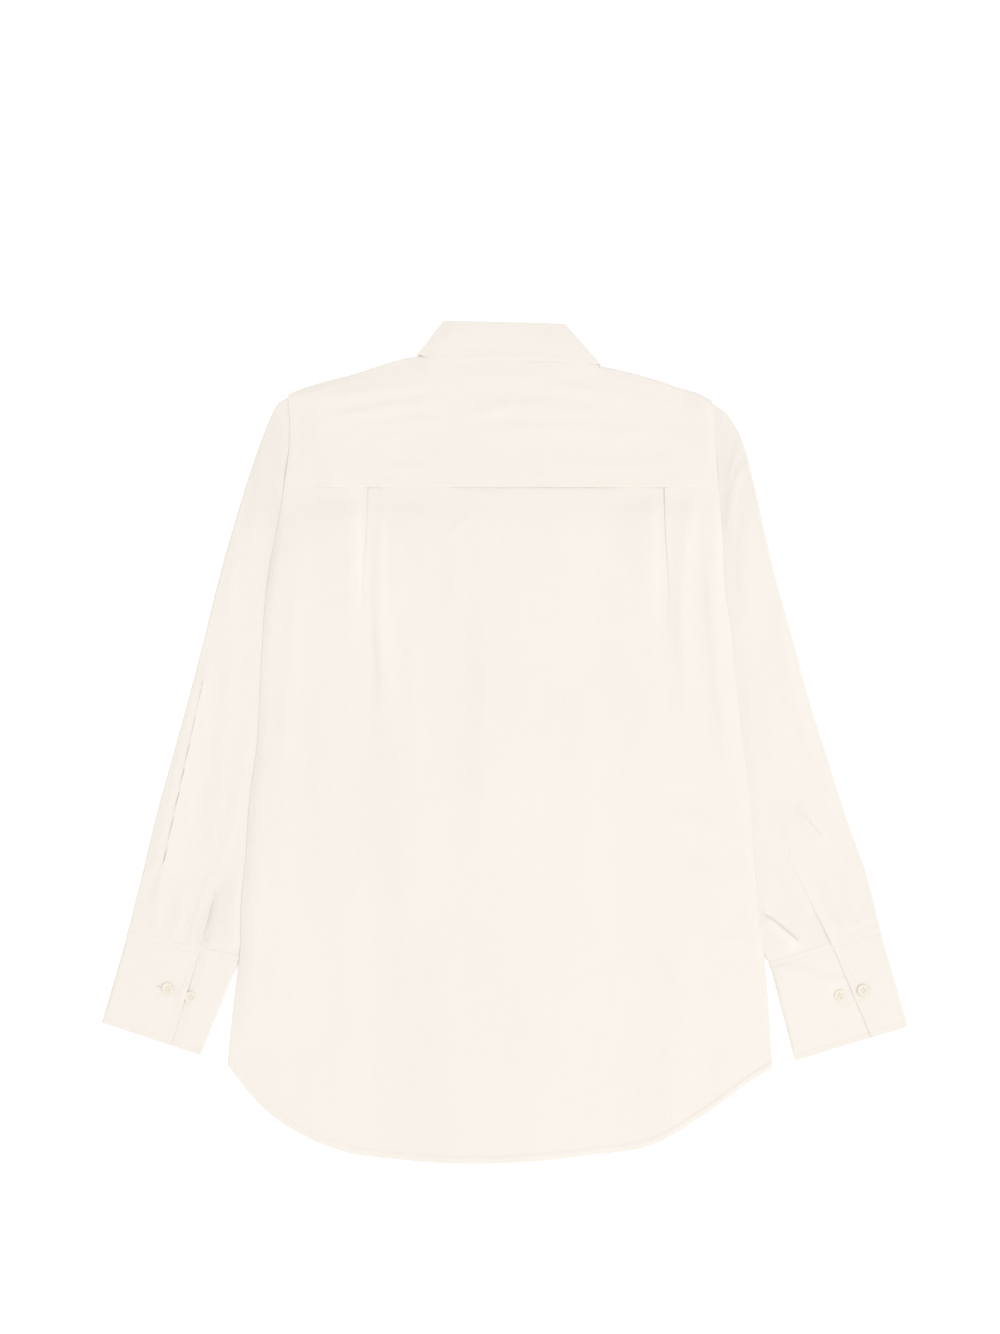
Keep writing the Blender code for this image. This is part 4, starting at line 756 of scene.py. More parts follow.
def stitches(name, lines, length=2.3, pitch=3.0, radius=0.17, lift=0.05, sides=5):
    """Rows of stitches, each a short thread that dips into the cloth."""
    points, faces, total = [], [], 0
    for line, normal in lines:
        at = np.r_[0.0, np.cumsum(np.linalg.norm(np.diff(line, axis=0), axis=1))]
        count = int((at[-1] - length) / pitch)
        if count < 1:
            continue
        slack = at[-1] - count * pitch
        starts = slack / 2.0 + pitch * np.arange(count) + (pitch - length) / 2.0
        rings = []
        for share, height, size in ((0.0, -0.16, 0.6), (0.22, lift, 1.0), (0.78, lift, 1.0), (1.0, -0.16, 0.6)):
            s = starts + length * share
            p = np.stack([np.interp(s, at, line[:, k]) for k in range(3)], 1)
            n = np.stack([np.interp(s, at, normal[:, k]) for k in range(3)], 1)
            rings.append((p, n / np.linalg.norm(n, axis=1, keepdims=True), height, size))
        run = rings[3][0] - rings[0][0]
        run /= np.maximum(np.linalg.norm(run, axis=1, keepdims=True), 1e-9)
        block = []
        for p, n, height, size in rings:
            across = np.cross(run, n)
            for k in range(sides):
                angle = 2.0 * math.pi * k / sides
                block.append(
                    p + n * (height + radius * size * math.sin(angle)) + across * (radius * size * math.cos(angle))
                )
        block = np.stack(block, 1)  # stitch, ring and side, axes
        points.append(block.reshape(-1, 3))
        base = total + np.arange(count)[:, None] * (4 * sides)
        for ring in range(3):
            for k in range(sides):
                a, b = ring * sides + k, ring * sides + (k + 1) % sides
                faces.append(np.concatenate([base + a, base + b, base + b + sides, base + a + sides], 1))
        caps = np.arange(sides)
        faces.append(base + caps[::-1])
        faces.append(base + caps + 3 * sides)
        total += count * 4 * sides
    points = np.concatenate(points)
    points[:, 2] = np.maximum(points[:, 2], 0.02)  # pressed flat on the surface
    return add_mesh(name, points, faces, THREAD)


def line_on(grid, i, j, up=HALF, flip=False):
    """A line over a piece's outer face, through fractional rows and columns."""
    normal = surface_normals(grid)
    if flip:
        normal = -normal
    i = np.broadcast_to(np.asarray(i, float), np.broadcast(i, j).shape)
    j = np.broadcast_to(np.asarray(j, float), np.broadcast(i, j).shape)
    p, n = on_grid(grid, normal, i.ravel(), j.ravel())
    return p + n * up, n


# ------------------------------------------------------- columns of the body
FIXED = 174.0  # the columns are straight out to here, then share the rest
EDGE_STEPS = np.array([0.0, 0.25, 0.7, 1.4, 2.4, 3.7, 5.3, 7.4, 10.0])
PLEAT_OUT = {"left": 130.0, "right": 160.0}
PLEAT_HALF = 13.0
HEM_STEPS = [0.0, 0.5, 1.2, 2.6, 4.4, 5.6, 6.3, 7.0, 7.8, 9.4, 11.8]


def columns_out(side, start, pleat=True, step=3.3, share_count=30):
    """Distances out from the centre where the half body is 205 mm wide."""
    fixed = []
    if pleat:
        centre = PLEAT_OUT[side]
        fixed += list(np.linspace(start, centre - PLEAT_HALF, int((centre - PLEAT_HALF - start) / step) + 1)[:-1])
        fixed += list(np.linspace(centre - PLEAT_HALF, centre + PLEAT_HALF, 25)[:-1])
        if centre + PLEAT_HALF < FIXED:
            fixed += list(np.linspace(centre + PLEAT_HALF, FIXED, 3)[:-1])
    else:
        fixed += list(np.linspace(start, FIXED, int((FIXED - start) / step) + 1)[:-1])
    return np.array(fixed), share_count


def body_columns(side, start, pleat=True, step=3.3, share_count=30, inset=None):
    fixed, share_count = columns_out(side, start, pleat, step, share_count)

    def x_at(y):
        """Column positions, out from the centre, at the heights y (rows)."""
        half = np.abs(body_edge(side, y) - CENTRE_X)[:, None]
        if inset is not None:
            half = half - inset(y)[:, None]
        rest = half - FIXED
        edge_share = (EDGE_STEPS[None, :] / rest)[:, ::-1]
        plain = np.linspace(0.0, 1.0, share_count + 1)[None, :] * (1.0 - EDGE_STEPS[-1] / rest)
        shares = np.concatenate([plain[:, :-1], 1.0 - edge_share], 1)
        shared = FIXED + rest * shares
        out = np.concatenate([np.broadcast_to(fixed, (len(y), len(fixed))), shared], 1)
        return out

    return x_at


def pleated(side, x, strength):
    """Shifts (in x) and raises the columns at the pleat, as an S fold."""
    sign = sign_of(side)
    centre = CENTRE_X + sign * PLEAT_OUT[side]
    # c runs from the outer layer, which lies on top, towards the centre.
    c = -sign * (x - centre)
    inside = np.abs(c) < PLEAT_HALF
    shift = np.where(inside, strength / math.pi * np.sin(math.pi * c / PLEAT_HALF), 0.0)
    raised = 1.0 - ease((c + 6.5) / 13.0)
    return x + sign * shift, raised


def edge_roll(e, radius):
    """0 on the very edge, 1 from the radius in: a quarter of an ellipse."""
    t = np.clip(e / radius, 0.0, 1.0)
    return np.sqrt(np.maximum(1.0 - (1.0 - t) ** 2, 0.0))


def closed_side(y):
    """1 where back and front are seamed at the side, 0 at the open armhole."""
    return ease_off(y - 236.0, 40.0)


def over_sleeve(y):
    """1 where the body's side edges lie on the sleeves."""
    return ease_off(y - LIFT_FULL_Y, LIFT_NONE_Y - LIFT_FULL_Y) * ease_off(
        LIFT_FULL_LOW_Y - y, LIFT_FULL_LOW_Y - LIFT_NONE_LOW_Y
    )


def puff(side, x, y, e):
    """The soft roll along the body's edges, where the side seams turn."""
    size = (0.55 if side == "left" else 0.2) * (1.0 + 0.35 * noise(x * 0.0, y, 1.0, 70.0, 5))
    size = size * (0.45 + 0.55 * closed_side(y)) * ease_off(-y - 215.0, 110.0)
    return size * np.exp(-(((e - 12.0) / 10.0) ** 2))


# --------------------------------------------------------------- back panel
def back_surface(x, y, folds=True):
    z = back_base(x, y)
    if folds:
        z = z + 1.45 * fold_height(BACK_FOLDS, x, y)
        z = z + 0.26 * noise(x, y, 46.0, 150.0, 1) + 0.12 * noise(x, y, 17.0, 60.0, 2)
    return z


def ride_up(side, y):
    """How far the left sleeve's fold above its cuff lifts the body's edge."""
    return (1.5 if side == "left" else 0.0) * np.exp(-(((y + 158.0) / 38.0) ** 2))


def rolled(z, x, y, e, side):
    """Turns the back's edge down to the seam, or onto the sleeve."""
    front = front_z(side, x, y)
    base = back_base(x, y)
    over = over_sleeve(y)
    seam = mix((front + base) / 2.0 + 0.24, ON_SLEEVE_Z, over)
    seam = seam + ride_up(side, y)
    meet = mix(front + 1.70, seam, closed_side(y))
    z = z + puff(side, x, y, e) + 0.5 * ride_up(side, y) * ease_off(e - 6.0, 30.0)
    if side == "left":
        low = 0.55 * (1.0 - ease(e / 17.0)) * ease((-y - 190.0) / 25.0) * ease_off(-y - 262.0, 30.0)
        z = np.maximum(z - low, np.minimum(z, meet + 0.25))
    # Near an armhole the back comes down to the sleeve well inside its edge.
    sunk = (0.68 if side == "left" else 0.35) * ease((y - 150.0) / 80.0)
    z = z - sunk * np.maximum(z - meet, 0.0) * (1.0 - ease(e / 34.0))
    turned = edge_roll(e, 3.4)
    # Over a sleeve the edge comes down in a longer slope.
    reach = mix(3.4, 7.5, ease_off(y - 185.0, 50.0)) if side == "left" else 9.0
    laid = np.sin(math.pi / 2.0 * np.clip(e / reach, 0.0, 1.0))
    return meet + (z - meet) * mix(turned, laid, np.maximum(over, 1.0 - closed_side(y)))


def yoke_surface(x, y):
    z = back_base(x, y) + 1.5 * fold_height(YOKE_FOLDS, x, y) * ease_off(y - 345.0, 22.0)
    z = z + 0.28 * noise(x, y, 120.0, 26.0, 6) * ease_off(y - 350.0, 14.0) + 0.1 * noise(x, y, 34.0, 11.0, 7)
    up = y - YOKE_SEAM_Y
    z = z + (0.02 + 0.62 * seam_pull(x)) * ease_off(up, 40.0) + 0.06
    at_neck = ease((x - NECK_LEFT[0] + 1.0) / 13.0) * ease((NECK_RIGHT[0] + 1.0 - x) / 13.0)
    fall = (1.3 + 0.5 * np.exp(-(((x + 118.0) / 46.0) ** 2))) * (1.0 - at_neck)
    z = z - fall * (1.0 - ease((shoulder_y(x) - 1.5 - y) / (8.5 + 8.0 * np.exp(-(((x + 92.0) / 34.0) ** 2)) - 4.0 * ease_off(x + 150.0, 40.0) + 8.0 * ease((x - 125.0) / 45.0))))
    for pleat_side in ("left", "right"):
        centre = CENTRE_X + sign_of(pleat_side) * PLEAT_OUT[pleat_side]
        z = z + 0.18 * np.exp(-(((x - centre) / 13.0) ** 2)) * ease_off(up, 34.0)
    return z


def seam_pull(x):
    """1 where the yoke's seam is pulled deepest, right of its middle."""
    return ease((x + 85.0) / 50.0) * ease_off(x - 92.0, 45.0)


def under_yoke(x, y):
    """How the panel dips into the yoke seam and swells out below it."""
    down = YOKE_SEAM_Y - y
    dip = -(0.05 + 0.60 * seam_pull(x)) * (1.0 - ease(down / 16.0))
    swell = 3.4 * ease((down + 8.0) / 54.0) * ease_off(down - 46.0, 140.0)
    return dip, swell


left_columns = body_columns("left", 0.0)
right_columns = body_columns("right", 0.0)


def panel_rows(hem, top, last_over):
    """Heights of the rows on a column, from its hem to just past the seam."""
    length = top - hem
    near_hem = np.array(HEM_STEPS)
    middle_count = 192
    middle = np.linspace(HEM_STEPS[-1] + 3.0, length - 9.0, middle_count)
    near_top = length + np.array([-7.0, -5.0, -3.0, -1.4, 0.0, last_over * 0.4, last_over])
    return hem + np.concatenate([near_hem, middle, near_top])


def side_grid(side, x_at, hem_up, top_of, over, foot_y=-330.0):
    """x, y and distance from the edge over one half, centre column first."""
    foot = CENTRE_X + sign_of(side) * x_at(np.array([foot_y]))[0]
    hem = hem_y(foot) + hem_up
    top = top_of(foot)
    y = np.stack([panel_rows(h, t, over) for h, t in zip(hem, top)], 1)
    out = np.empty(y.shape)
    for j in range(y.shape[1]):
        out[:, j] = x_at(y[:, j])[:, j]
    half = np.abs(body_edge(side, y) - CENTRE_X)
    return CENTRE_X + sign_of(side) * out, y, half - out


halves = {}
for side, x_at in (("left", left_columns), ("right", right_columns)):
    x, y, e = side_grid(side, x_at, 0.0, lambda foot: np.full(foot.shape, YOKE_SEAM_Y), 8.0)
    down = YOKE_SEAM_Y - y
    strength = 31.0 * ease_off(down - 10.0, 165.0)
    strength = np.where(down < 10.0, 31.0, strength)
    flat_x = x.copy()
    x, raised = pleated(side, x, strength)
    z = back_surface(x, y)
    dip, swell = under_yoke(x, y)
    z = z + dip + swell * (0.75 + 0.5 * noise(x, y * 0.0, 55.0, 1.0, 3))
    z = z + (0.60 if side == "left" else 0.45) * raised * ease_off(down - 15.0, 140.0) * ease_off(np.abs(flat_x - (CENTRE_X + sign_of(side) * PLEAT_OUT[side])) - 15.0, 22.0)
    # The tuck above the seam lies under the yoke, and comes out of it slowly.
    from_pleat = np.abs(flat_x - (CENTRE_X + sign_of(side) * PLEAT_OUT[side]))
    stacked = 0.80 * (1.0 - raised) * ease_off(from_pleat - 8.0, 14.0)
    below = yoke_surface(x, np.maximum(y, YOKE_SEAM_Y)) - 0.54 - stacked
    z = mix(np.minimum(z, below), z, ease((down - 1.0) / 28.0))
    z = rolled(z, x, y, e, side)
    halves[side] = (x, y, z, e, flat_x)


def join_halves(left, right):
    """Left half turned round, its centre column shared with the right half."""
    return np.concatenate([left[:, :0:-1], right], 1)


bx, by, bz, _, bflat = (join_halves(a, b) for a, b in zip(halves["left"], halves["right"]))
# The hem is turned up twice: thicker, a little roped by its stitching.
hem_down = by - hem_y(bflat)
on_hem = ease_off(hem_down - 5.9, 1.2)
ripple = noise(bflat + 0.8 * hem_down, hem_down * 0.0, 7.5, 1.0, 4, 1)
bz = bz + 0.30 * on_hem + 0.24 * ripple * ease_off(hem_down - 3.0, 16.0) - 0.03 * np.exp(-(((hem_down - 5.4) / 0.7) ** 2))
bz = bz - 0.35 * ease_off(hem_down, 2.4)
back_grid = np.stack([bx, by, bz], -1)
thick_back = HALF + 0.12 * on_hem
back_grain = np.stack([bflat, by], -1)
back_piece = shell("back_cloth", back_grid, grain=back_grain, thick=thick_back, low=thick_back)
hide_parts("back_panel")


# --------------------------------------------------------------------- yoke
def yoke_half(side):
    fixed = np.linspace(0.0, FIXED, 46)[:-1]
    sign = sign_of(side)
    neck = abs((NECK_LEFT if side == "left" else NECK_RIGHT)[0] - CENTRE_X)
    fixed = np.array(sorted([f for f in fixed if abs(f - neck) > 1.2] + [neck - 0.2, neck]))
    x_share = 22

    def x_at(y):
        half = np.abs(body_edge(side, y) - CENTRE_X)[:, None]
        rest = half - FIXED
        edge = (EDGE_STEPS[None, :] / rest)[:, ::-1]
        plain = np.linspace(0.0, 1.0, x_share + 1)[None, :] * (1.0 - EDGE_STEPS[-1] / rest)
        shares = np.concatenate([plain[:, :-1], 1.0 - edge], 1)
        return np.concatenate([np.broadcast_to(fixed, (len(y), len(fixed))), FIXED + rest * shares], 1)

    corner = int(np.argmin(np.abs(fixed - neck)))
    top_x = CENTRE_X + sign * x_at(np.array([340.0]))[0]
    count = len(top_x)
    over_neck = np.arange(count) < corner
    top = np.where(over_neck, under_fall(top_x, 1.0, 2.2), shoulder_y(top_x) - 2.6)
    low_part = np.array([0.0, 0.35, 0.9, 1.8, 3.2, 5.0, 7.4])
    rows = []
    for j in range(count):
        length = top[j] - (YOKE_SEAM_Y - 1.2)
        rows.append(YOKE_SEAM_Y - 1.2 + np.concatenate([low_part, np.linspace(10.0, length, 34)]))
    y = np.stack(rows, 1)
    out = np.empty(y.shape)
    for j in range(count):
        out[:, j] = x_at(y[:, j])[:, j]
    x = CENTRE_X + sign * out
    e = np.abs(body_edge(side, y) - CENTRE_X) - out
    z = yoke_surface(x, y)
    up = y - YOKE_SEAM_Y
    z = z - 0.20 * ease_off(up + 1.2, 3.0) - 0.06 * np.exp(-(((up - 1.6) / 0.8) ** 2))
    z = z + 0.10 * noise(x, y * 0.0, 8.0, 1.0, 2, 1) * ease_off(up, 9.0)
    z = rolled(z, x, y, e, side)
    # Over the shoulder: a half turn, then down the front to the front seam.
    low = front_z(side, x[-1], y[-1])
    high = z[-1]
    turn = []
    for k in range(1, 9):
        angle = math.pi * k / 9.0
        turn.append(np.stack([x[-1], y[-1] + 2.3 * math.sin(angle), low + (high - low) / 2.0 * (1.0 + math.cos(angle))], -1))
    flap = []
    for k, run in enumerate((0.0, 2.5, 5.0, 8.0, 11.0, 14.0, 16.5, 18.2, 19.2, 20.0)):
        fy = y[-1] - run
        fx = x[-1]
        fz = front_z(side, fx, fy) + 0.06 * noise(fx, fy, 20.0, 10.0, 3)
        flap.append(np.stack([fx, fy, fz], -1))
    grid = np.concatenate([np.stack([x, y, z], -1), np.stack(turn), np.stack(flap)], 0)
    # Cells over the neck stop at the neckline.
    cells = np.ones((grid.shape[0] - 1, count - 1), bool)
    cells[len(y) - 1 :, :corner] = False
    grain_y = np.concatenate([y, y[-1] + np.cumsum(np.full((18, count), 2.0), 0)], 0)
    grain = np.stack([np.broadcast_to(x[0], grain_y.shape), grain_y], -1)
    return grid, cells, grain, corner, len(y)


yl, cl, gl, corner_l, yoke_rows = yoke_half("left")
yr, cr, gr, corner_r, _ = yoke_half("right")
yoke_grid = np.concatenate([yl[:, :0:-1], yr], 1)
yoke_cells = np.concatenate([cl[:, ::-1], cr], 1)
yoke_grain = np.concatenate([gl[:, :0:-1], gr], 1)
yoke_half_thick = np.full(yoke_grid.shape[:2], 0.28)
yoke_half_thick[:4] = np.array([0.16, 0.18, 0.22, 0.26])[:, None]
yoke_piece = shell("back_yoke_cloth", yoke_grid, thick=yoke_half_thick, low=yoke_half_thick, keep=yoke_cells, grain=yoke_grain[..., ::-1])
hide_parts("back_yoke")

# ------------------------------------------------------------------- fronts
front_grids = {}


def front_half(side):
    sign = sign_of(side)
    inset = lambda y: 0.3 + 4.0 * over_sleeve(y) * ease_off(y - 212.0, 20.0)
    x_at = body_columns(side, 11.5, pleat=False, step=3.8, share_count=24, inset=inset)
    neck = NECK_LEFT if side == "left" else NECK_RIGHT

    def top_of(foot):
        seam = shoulder_y(foot) - 2.6 - YOKE_FORWARD + 1.0
        out = np.abs(foot - CENTRE_X)
        # Columns lean out to the hem, so the ones past the neck end at the seam.
        ends = (NECK_LEFT[0] + 0.3, NECK_LEFT[1]), (NECK_RIGHT[0] - 0.3, NECK_RIGHT[1])
        round_neck = neckline(foot, *ends, FRONT_NECK_Y)
        return np.where(out < abs(neck[0] - CENTRE_X), np.minimum(round_neck, seam), seam)

    x_top = CENTRE_X + sign * x_at(np.array([320.0]))[0]
    foot = CENTRE_X + sign * x_at(np.array([-330.0]))[0]
    hem = hem_y(foot) + FRONT_HEM_UP
    top = top_of(x_top)
    columns = []
    for h, t in zip(hem, top):
        length = t - h
        middle = np.linspace(HEM_STEPS[-1] + 3.0, length - 3.5, 178)
        columns.append(h + np.concatenate([HEM_STEPS, middle, length + np.array([-1.5, 0.0, 2.0, 4.5])]))
    y = np.stack(columns, 1)
    out = np.empty(y.shape)
    for j in range(y.shape[1]):
        out[:, j] = x_at(y[:, j])[:, j]
    x = CENTRE_X + sign * out
    e = np.abs(body_edge(side, y) - CENTRE_X) - inset(y.ravel()).reshape(y.shape) - out
    z = front_z(side, x, y)
    z = z + (0.8 * fold_height(FRONT_FOLDS, x, y) * ease_off(y - 300.0, 20.0) + 0.13 * (1.0 + noise(x, y, 40.0, 120.0, 2)) * ease_off(y - 310.0, 15.0)) * ease((e - 6.0) / 24.0)
    # The top edge is tucked behind the yoke's front edge or the collar stand.
    past = np.arange(y.shape[0])[:, None] - (y.shape[0] - 4)
    z = z + 0.5 * ease(past / 2.0)
    z = z + 0.7 * ride_up(side, y) * ease_off(e, 20.0)
    seam = mix((front_z(side, x, y) + back_base(x, y)) / 2.0 - 0.25, ON_SLEEVE_Z + 0.04 + 0.7 * ride_up(side, y), over_sleeve(y))
    low = front_z(side, x, y)
    meet = mix(low, seam, closed_side(y))
    z = meet + (z - meet) * edge_roll(e, 5.0)
    down = y - (hem_y(foot)[None, :] + FRONT_HEM_UP)
    on_hem = ease_off(down - 5.9, 1.2)
    z = z + 0.12 * noise(x + 0.8 * down, down * 0.0, 7.5, 1.0, 6, 1) * ease_off(down - 3.0, 14.0) + 0.12
    thick = HALF + 0.18 * on_hem
    grid = np.stack([x, y, z], -1)
    if side == "left":
        grid, thick = grid[:, ::-1], thick[:, ::-1]
    return grid, thick


for side in ("left", "right"):
    grid, thick = front_half(side)
    front_grids[side] = grid
    piece = shell("front_cloth_" + side, grid, grain=grid[..., :2], thick=thick, low=thick)
    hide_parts("front_" + side)

# The button bands: the buttonhole band outside, the button band behind it.
band_grids = {}
for side, lift in (("right", BUTTONHOLE_SIDE_LIFT), ("left", BUTTON_SIDE_LIFT)):
    low_y = float(hem_y(CENTRE_X)) + FRONT_HEM_UP + 0.4
    across = np.array([-14.0, -13.7, -13.0, -11.8, -10.2, -8.0, -5.0, -2.0, 0.0, 2.0, 5.0, 8.0, 10.2, 11.8, 13.0, 13.7, 14.0])
    along = np.concatenate([[low_y, low_y + 0.5, low_y + 1.5], np.linspace(low_y + 4.0, FRONT_NECK_Y - 1.5, 210), [FRONT_NECK_Y - 0.6, FRONT_NECK_Y - 0.3]])
    gx, gy = np.meshgrid(CENTRE_X + across, along)
    off = np.abs(gx - CENTRE_X)
    gz = WALL / 2 + lift + 0.0 * gx
    gz = gz + 0.10 * noise(gx, gy, 30.0, 60.0, 4 if side == "left" else 6)
    # Puckered a little beside each row of stitching.
    gz = gz + 0.07 * noise(gx * 0.0, gy, 1.0, 5.0, 1, 1) * np.exp(-(((off - 9.0) / 3.5) ** 2))
    grid = np.stack([gx, gy, gz], -1)
    band_grids[side] = grid
    piece = shell("band_cloth_" + side, grid, half=0.42, grain=grid[..., :2])
    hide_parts("button_band_" + side)


# ------------------------------------------------------------------- collar
def stand_edge(side, c):
    """Lower and upper edge points of the stand's front, c = 1 at its side."""
    low_side, high_side = STAND_SIDE[side]
    ends = (NECK_LEFT[0] + 0.3, NECK_LEFT[1]), (NECK_RIGHT[0] - 0.3, NECK_RIGHT[1])
    sign = sign_of(side)
    inner = np.minimum(c, 0.0)
    cc = np.maximum(c, 0.0)
    lx = CENTRE_X + (low_side[0] - CENTRE_X) * cc + sign * STAND_LAP * inner
    hx = CENTRE_X + (high_side[0] - CENTRE_X) * cc + sign * STAND_LAP * inner
    ly = np.where(cc > 0, neckline(lx, *ends, FRONT_NECK_Y), FRONT_NECK_Y)
    ratio = np.clip((hx - CENTRE_X) / (high_side[0] - CENTRE_X), 0.0, 1.0)
    hy = STAND_TOP_Y + (high_side[1] - STAND_TOP_Y) * (1.0 - np.sqrt(np.maximum(1.0 - ratio**2, 0.0)))
    # The past-centre end is rounded.
    hy = hy - 7.0 * np.maximum(-inner - 0.45, 0.0) ** 2 / 0.30
    lz = front_z(side, lx, ly)
    hz = front_z(side, hx, np.minimum(hy, STAND_TOP_Y + 6.0))
    blend_c = ease((cc - 0.75) / 0.25)
    lz = mix(lz, WALL / 2 + COLLAR_LIFT, blend_c)
    hz = mix(hz, WALL / 2 + COLLAR_LIFT, blend_c)
    return np.stack([lx, ly, lz], -1), np.stack([hx, hy, hz], -1)


def side_drop(side, away, much):
    """The collar falls away to its side folds, further on the left."""
    wide = 11.0 if side == "left" else 4.5
    return much * (1.0 if side == "left" else 0.8) * (1.0 - ease(away / wide))


def side_turn(side, low, high, z_from, z_to, steps):
    """Edge points round a side fold of the collar, from z_from to z_to."""
    sign = sign_of(side)
    radius = abs(z_to - z_from) / 2.0
    angle = np.linspace(0.0, math.pi, steps)
    push = sign * radius * 1.15 * np.sin(angle)
    z = (z_from + z_to) / 2.0 + (z_from - z_to) / 2.0 * np.cos(angle)
    return (
        np.stack([low[0] + push, np.full(steps, low[1]), z], -1),
        np.stack([high[0] + push, np.full(steps, high[1]), z], -1),
    )


def build_stand():
    front_c = np.concatenate([[-1.0, -0.97, -0.9, -0.75, -0.5, -0.25, 0.0], np.linspace(0.03, 0.985, 40)])
    t = np.linspace(0.02, 0.98, 52)
    low, high = [], []
    a, b = stand_edge("left", front_c)
    low.append(a); high.append(b)
    a, b = side_turn("left", *STAND_SIDE["left"], WALL / 2 + COLLAR_LIFT, STAND_BACK_Z - side_drop("left", 0.0, 0.7), 9)
    low.append(a); high.append(b)
    lx = mix(STAND_SIDE["left"][0][0], STAND_SIDE["right"][0][0], t)
    hx = mix(STAND_SIDE["left"][1][0], STAND_SIDE["right"][1][0], t)
    hy = mix(STAND_SIDE["left"][1][1], STAND_SIDE["right"][1][1], t)
    long = abs(hx[-1] - hx[0])
    z = STAND_BACK_Z - side_drop("left", t * long, 0.7) - side_drop("right", (1.0 - t) * long, 0.7)
    low.append(np.stack([lx, under_fall(lx, 0.7, 1.2), z - 0.2 * ease(8.0 * np.minimum(t, 1.0 - t))], -1))
    high.append(np.stack([hx, hy, z], -1))
    a, b = side_turn("right", *STAND_SIDE["right"], STAND_BACK_Z - side_drop("right", 0.0, 0.7), WALL / 2 + COLLAR_LIFT, 9)
    low.append(a); high.append(b)
    a, b = stand_edge("right", front_c[::-1])
    low.append(a); high.append(b)
    low, high = np.concatenate(low), np.concatenate(high)
    shares = np.array([0.0, 0.015, 0.05, 0.12, 0.25, 0.4, 0.55, 0.7, 0.85, 0.95, 0.985, 1.0])
    grid = low[None] + (high - low)[None] * shares[:, None, None]
    return grid


stand_grid = build_stand()
length_along = np.r_[0.0, np.cumsum(np.linalg.norm(np.diff(stand_grid.mean(0), axis=0), axis=1))]
stand_grain = np.stack([np.broadcast_to(length_along, stand_grid.shape[:2]), 30.0 * np.linspace(0, 1, stand_grid.shape[0])[:, None] + 0.0 * length_along], -1)
stand_flip = surface_normals(stand_grid)[6, stand_grid.shape[1] // 2, 2] < 0
stand_piece = shell("collar_stand_cloth", stand_grid, half=0.42, grain=stand_grain, flip=bool(stand_flip))
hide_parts("collar_stand")


def fall_edge(side, t):
    """Free edge and fold line of a front leaf, t = 0 at its pointed end."""
    low_side, high_side = FALL_SIDE[side]
    sign = sign_of(side)
    point = COLLAR_POINT[side]
    width = abs(high_side[0] - CENTRE_X)
    c = mix(FALL_END, width, t) / width
    hx = CENTRE_X + (high_side[0] - CENTRE_X) * c
    hy = STAND_TOP_Y - 2.0 + (high_side[1] - STAND_TOP_Y + 2.0) * (1.0 - np.sqrt(np.maximum(1.0 - c**2, 0.0)))
    bow = 5.0 * np.sin(math.pi * t)
    lx = mix(point[0], low_side[0], t) + sign * bow
    ly = mix(point[1], low_side[1], t)
    z = np.full(t.shape, WALL / 2)
    return np.stack([lx, ly, z], -1), np.stack([hx, hy, z], -1)


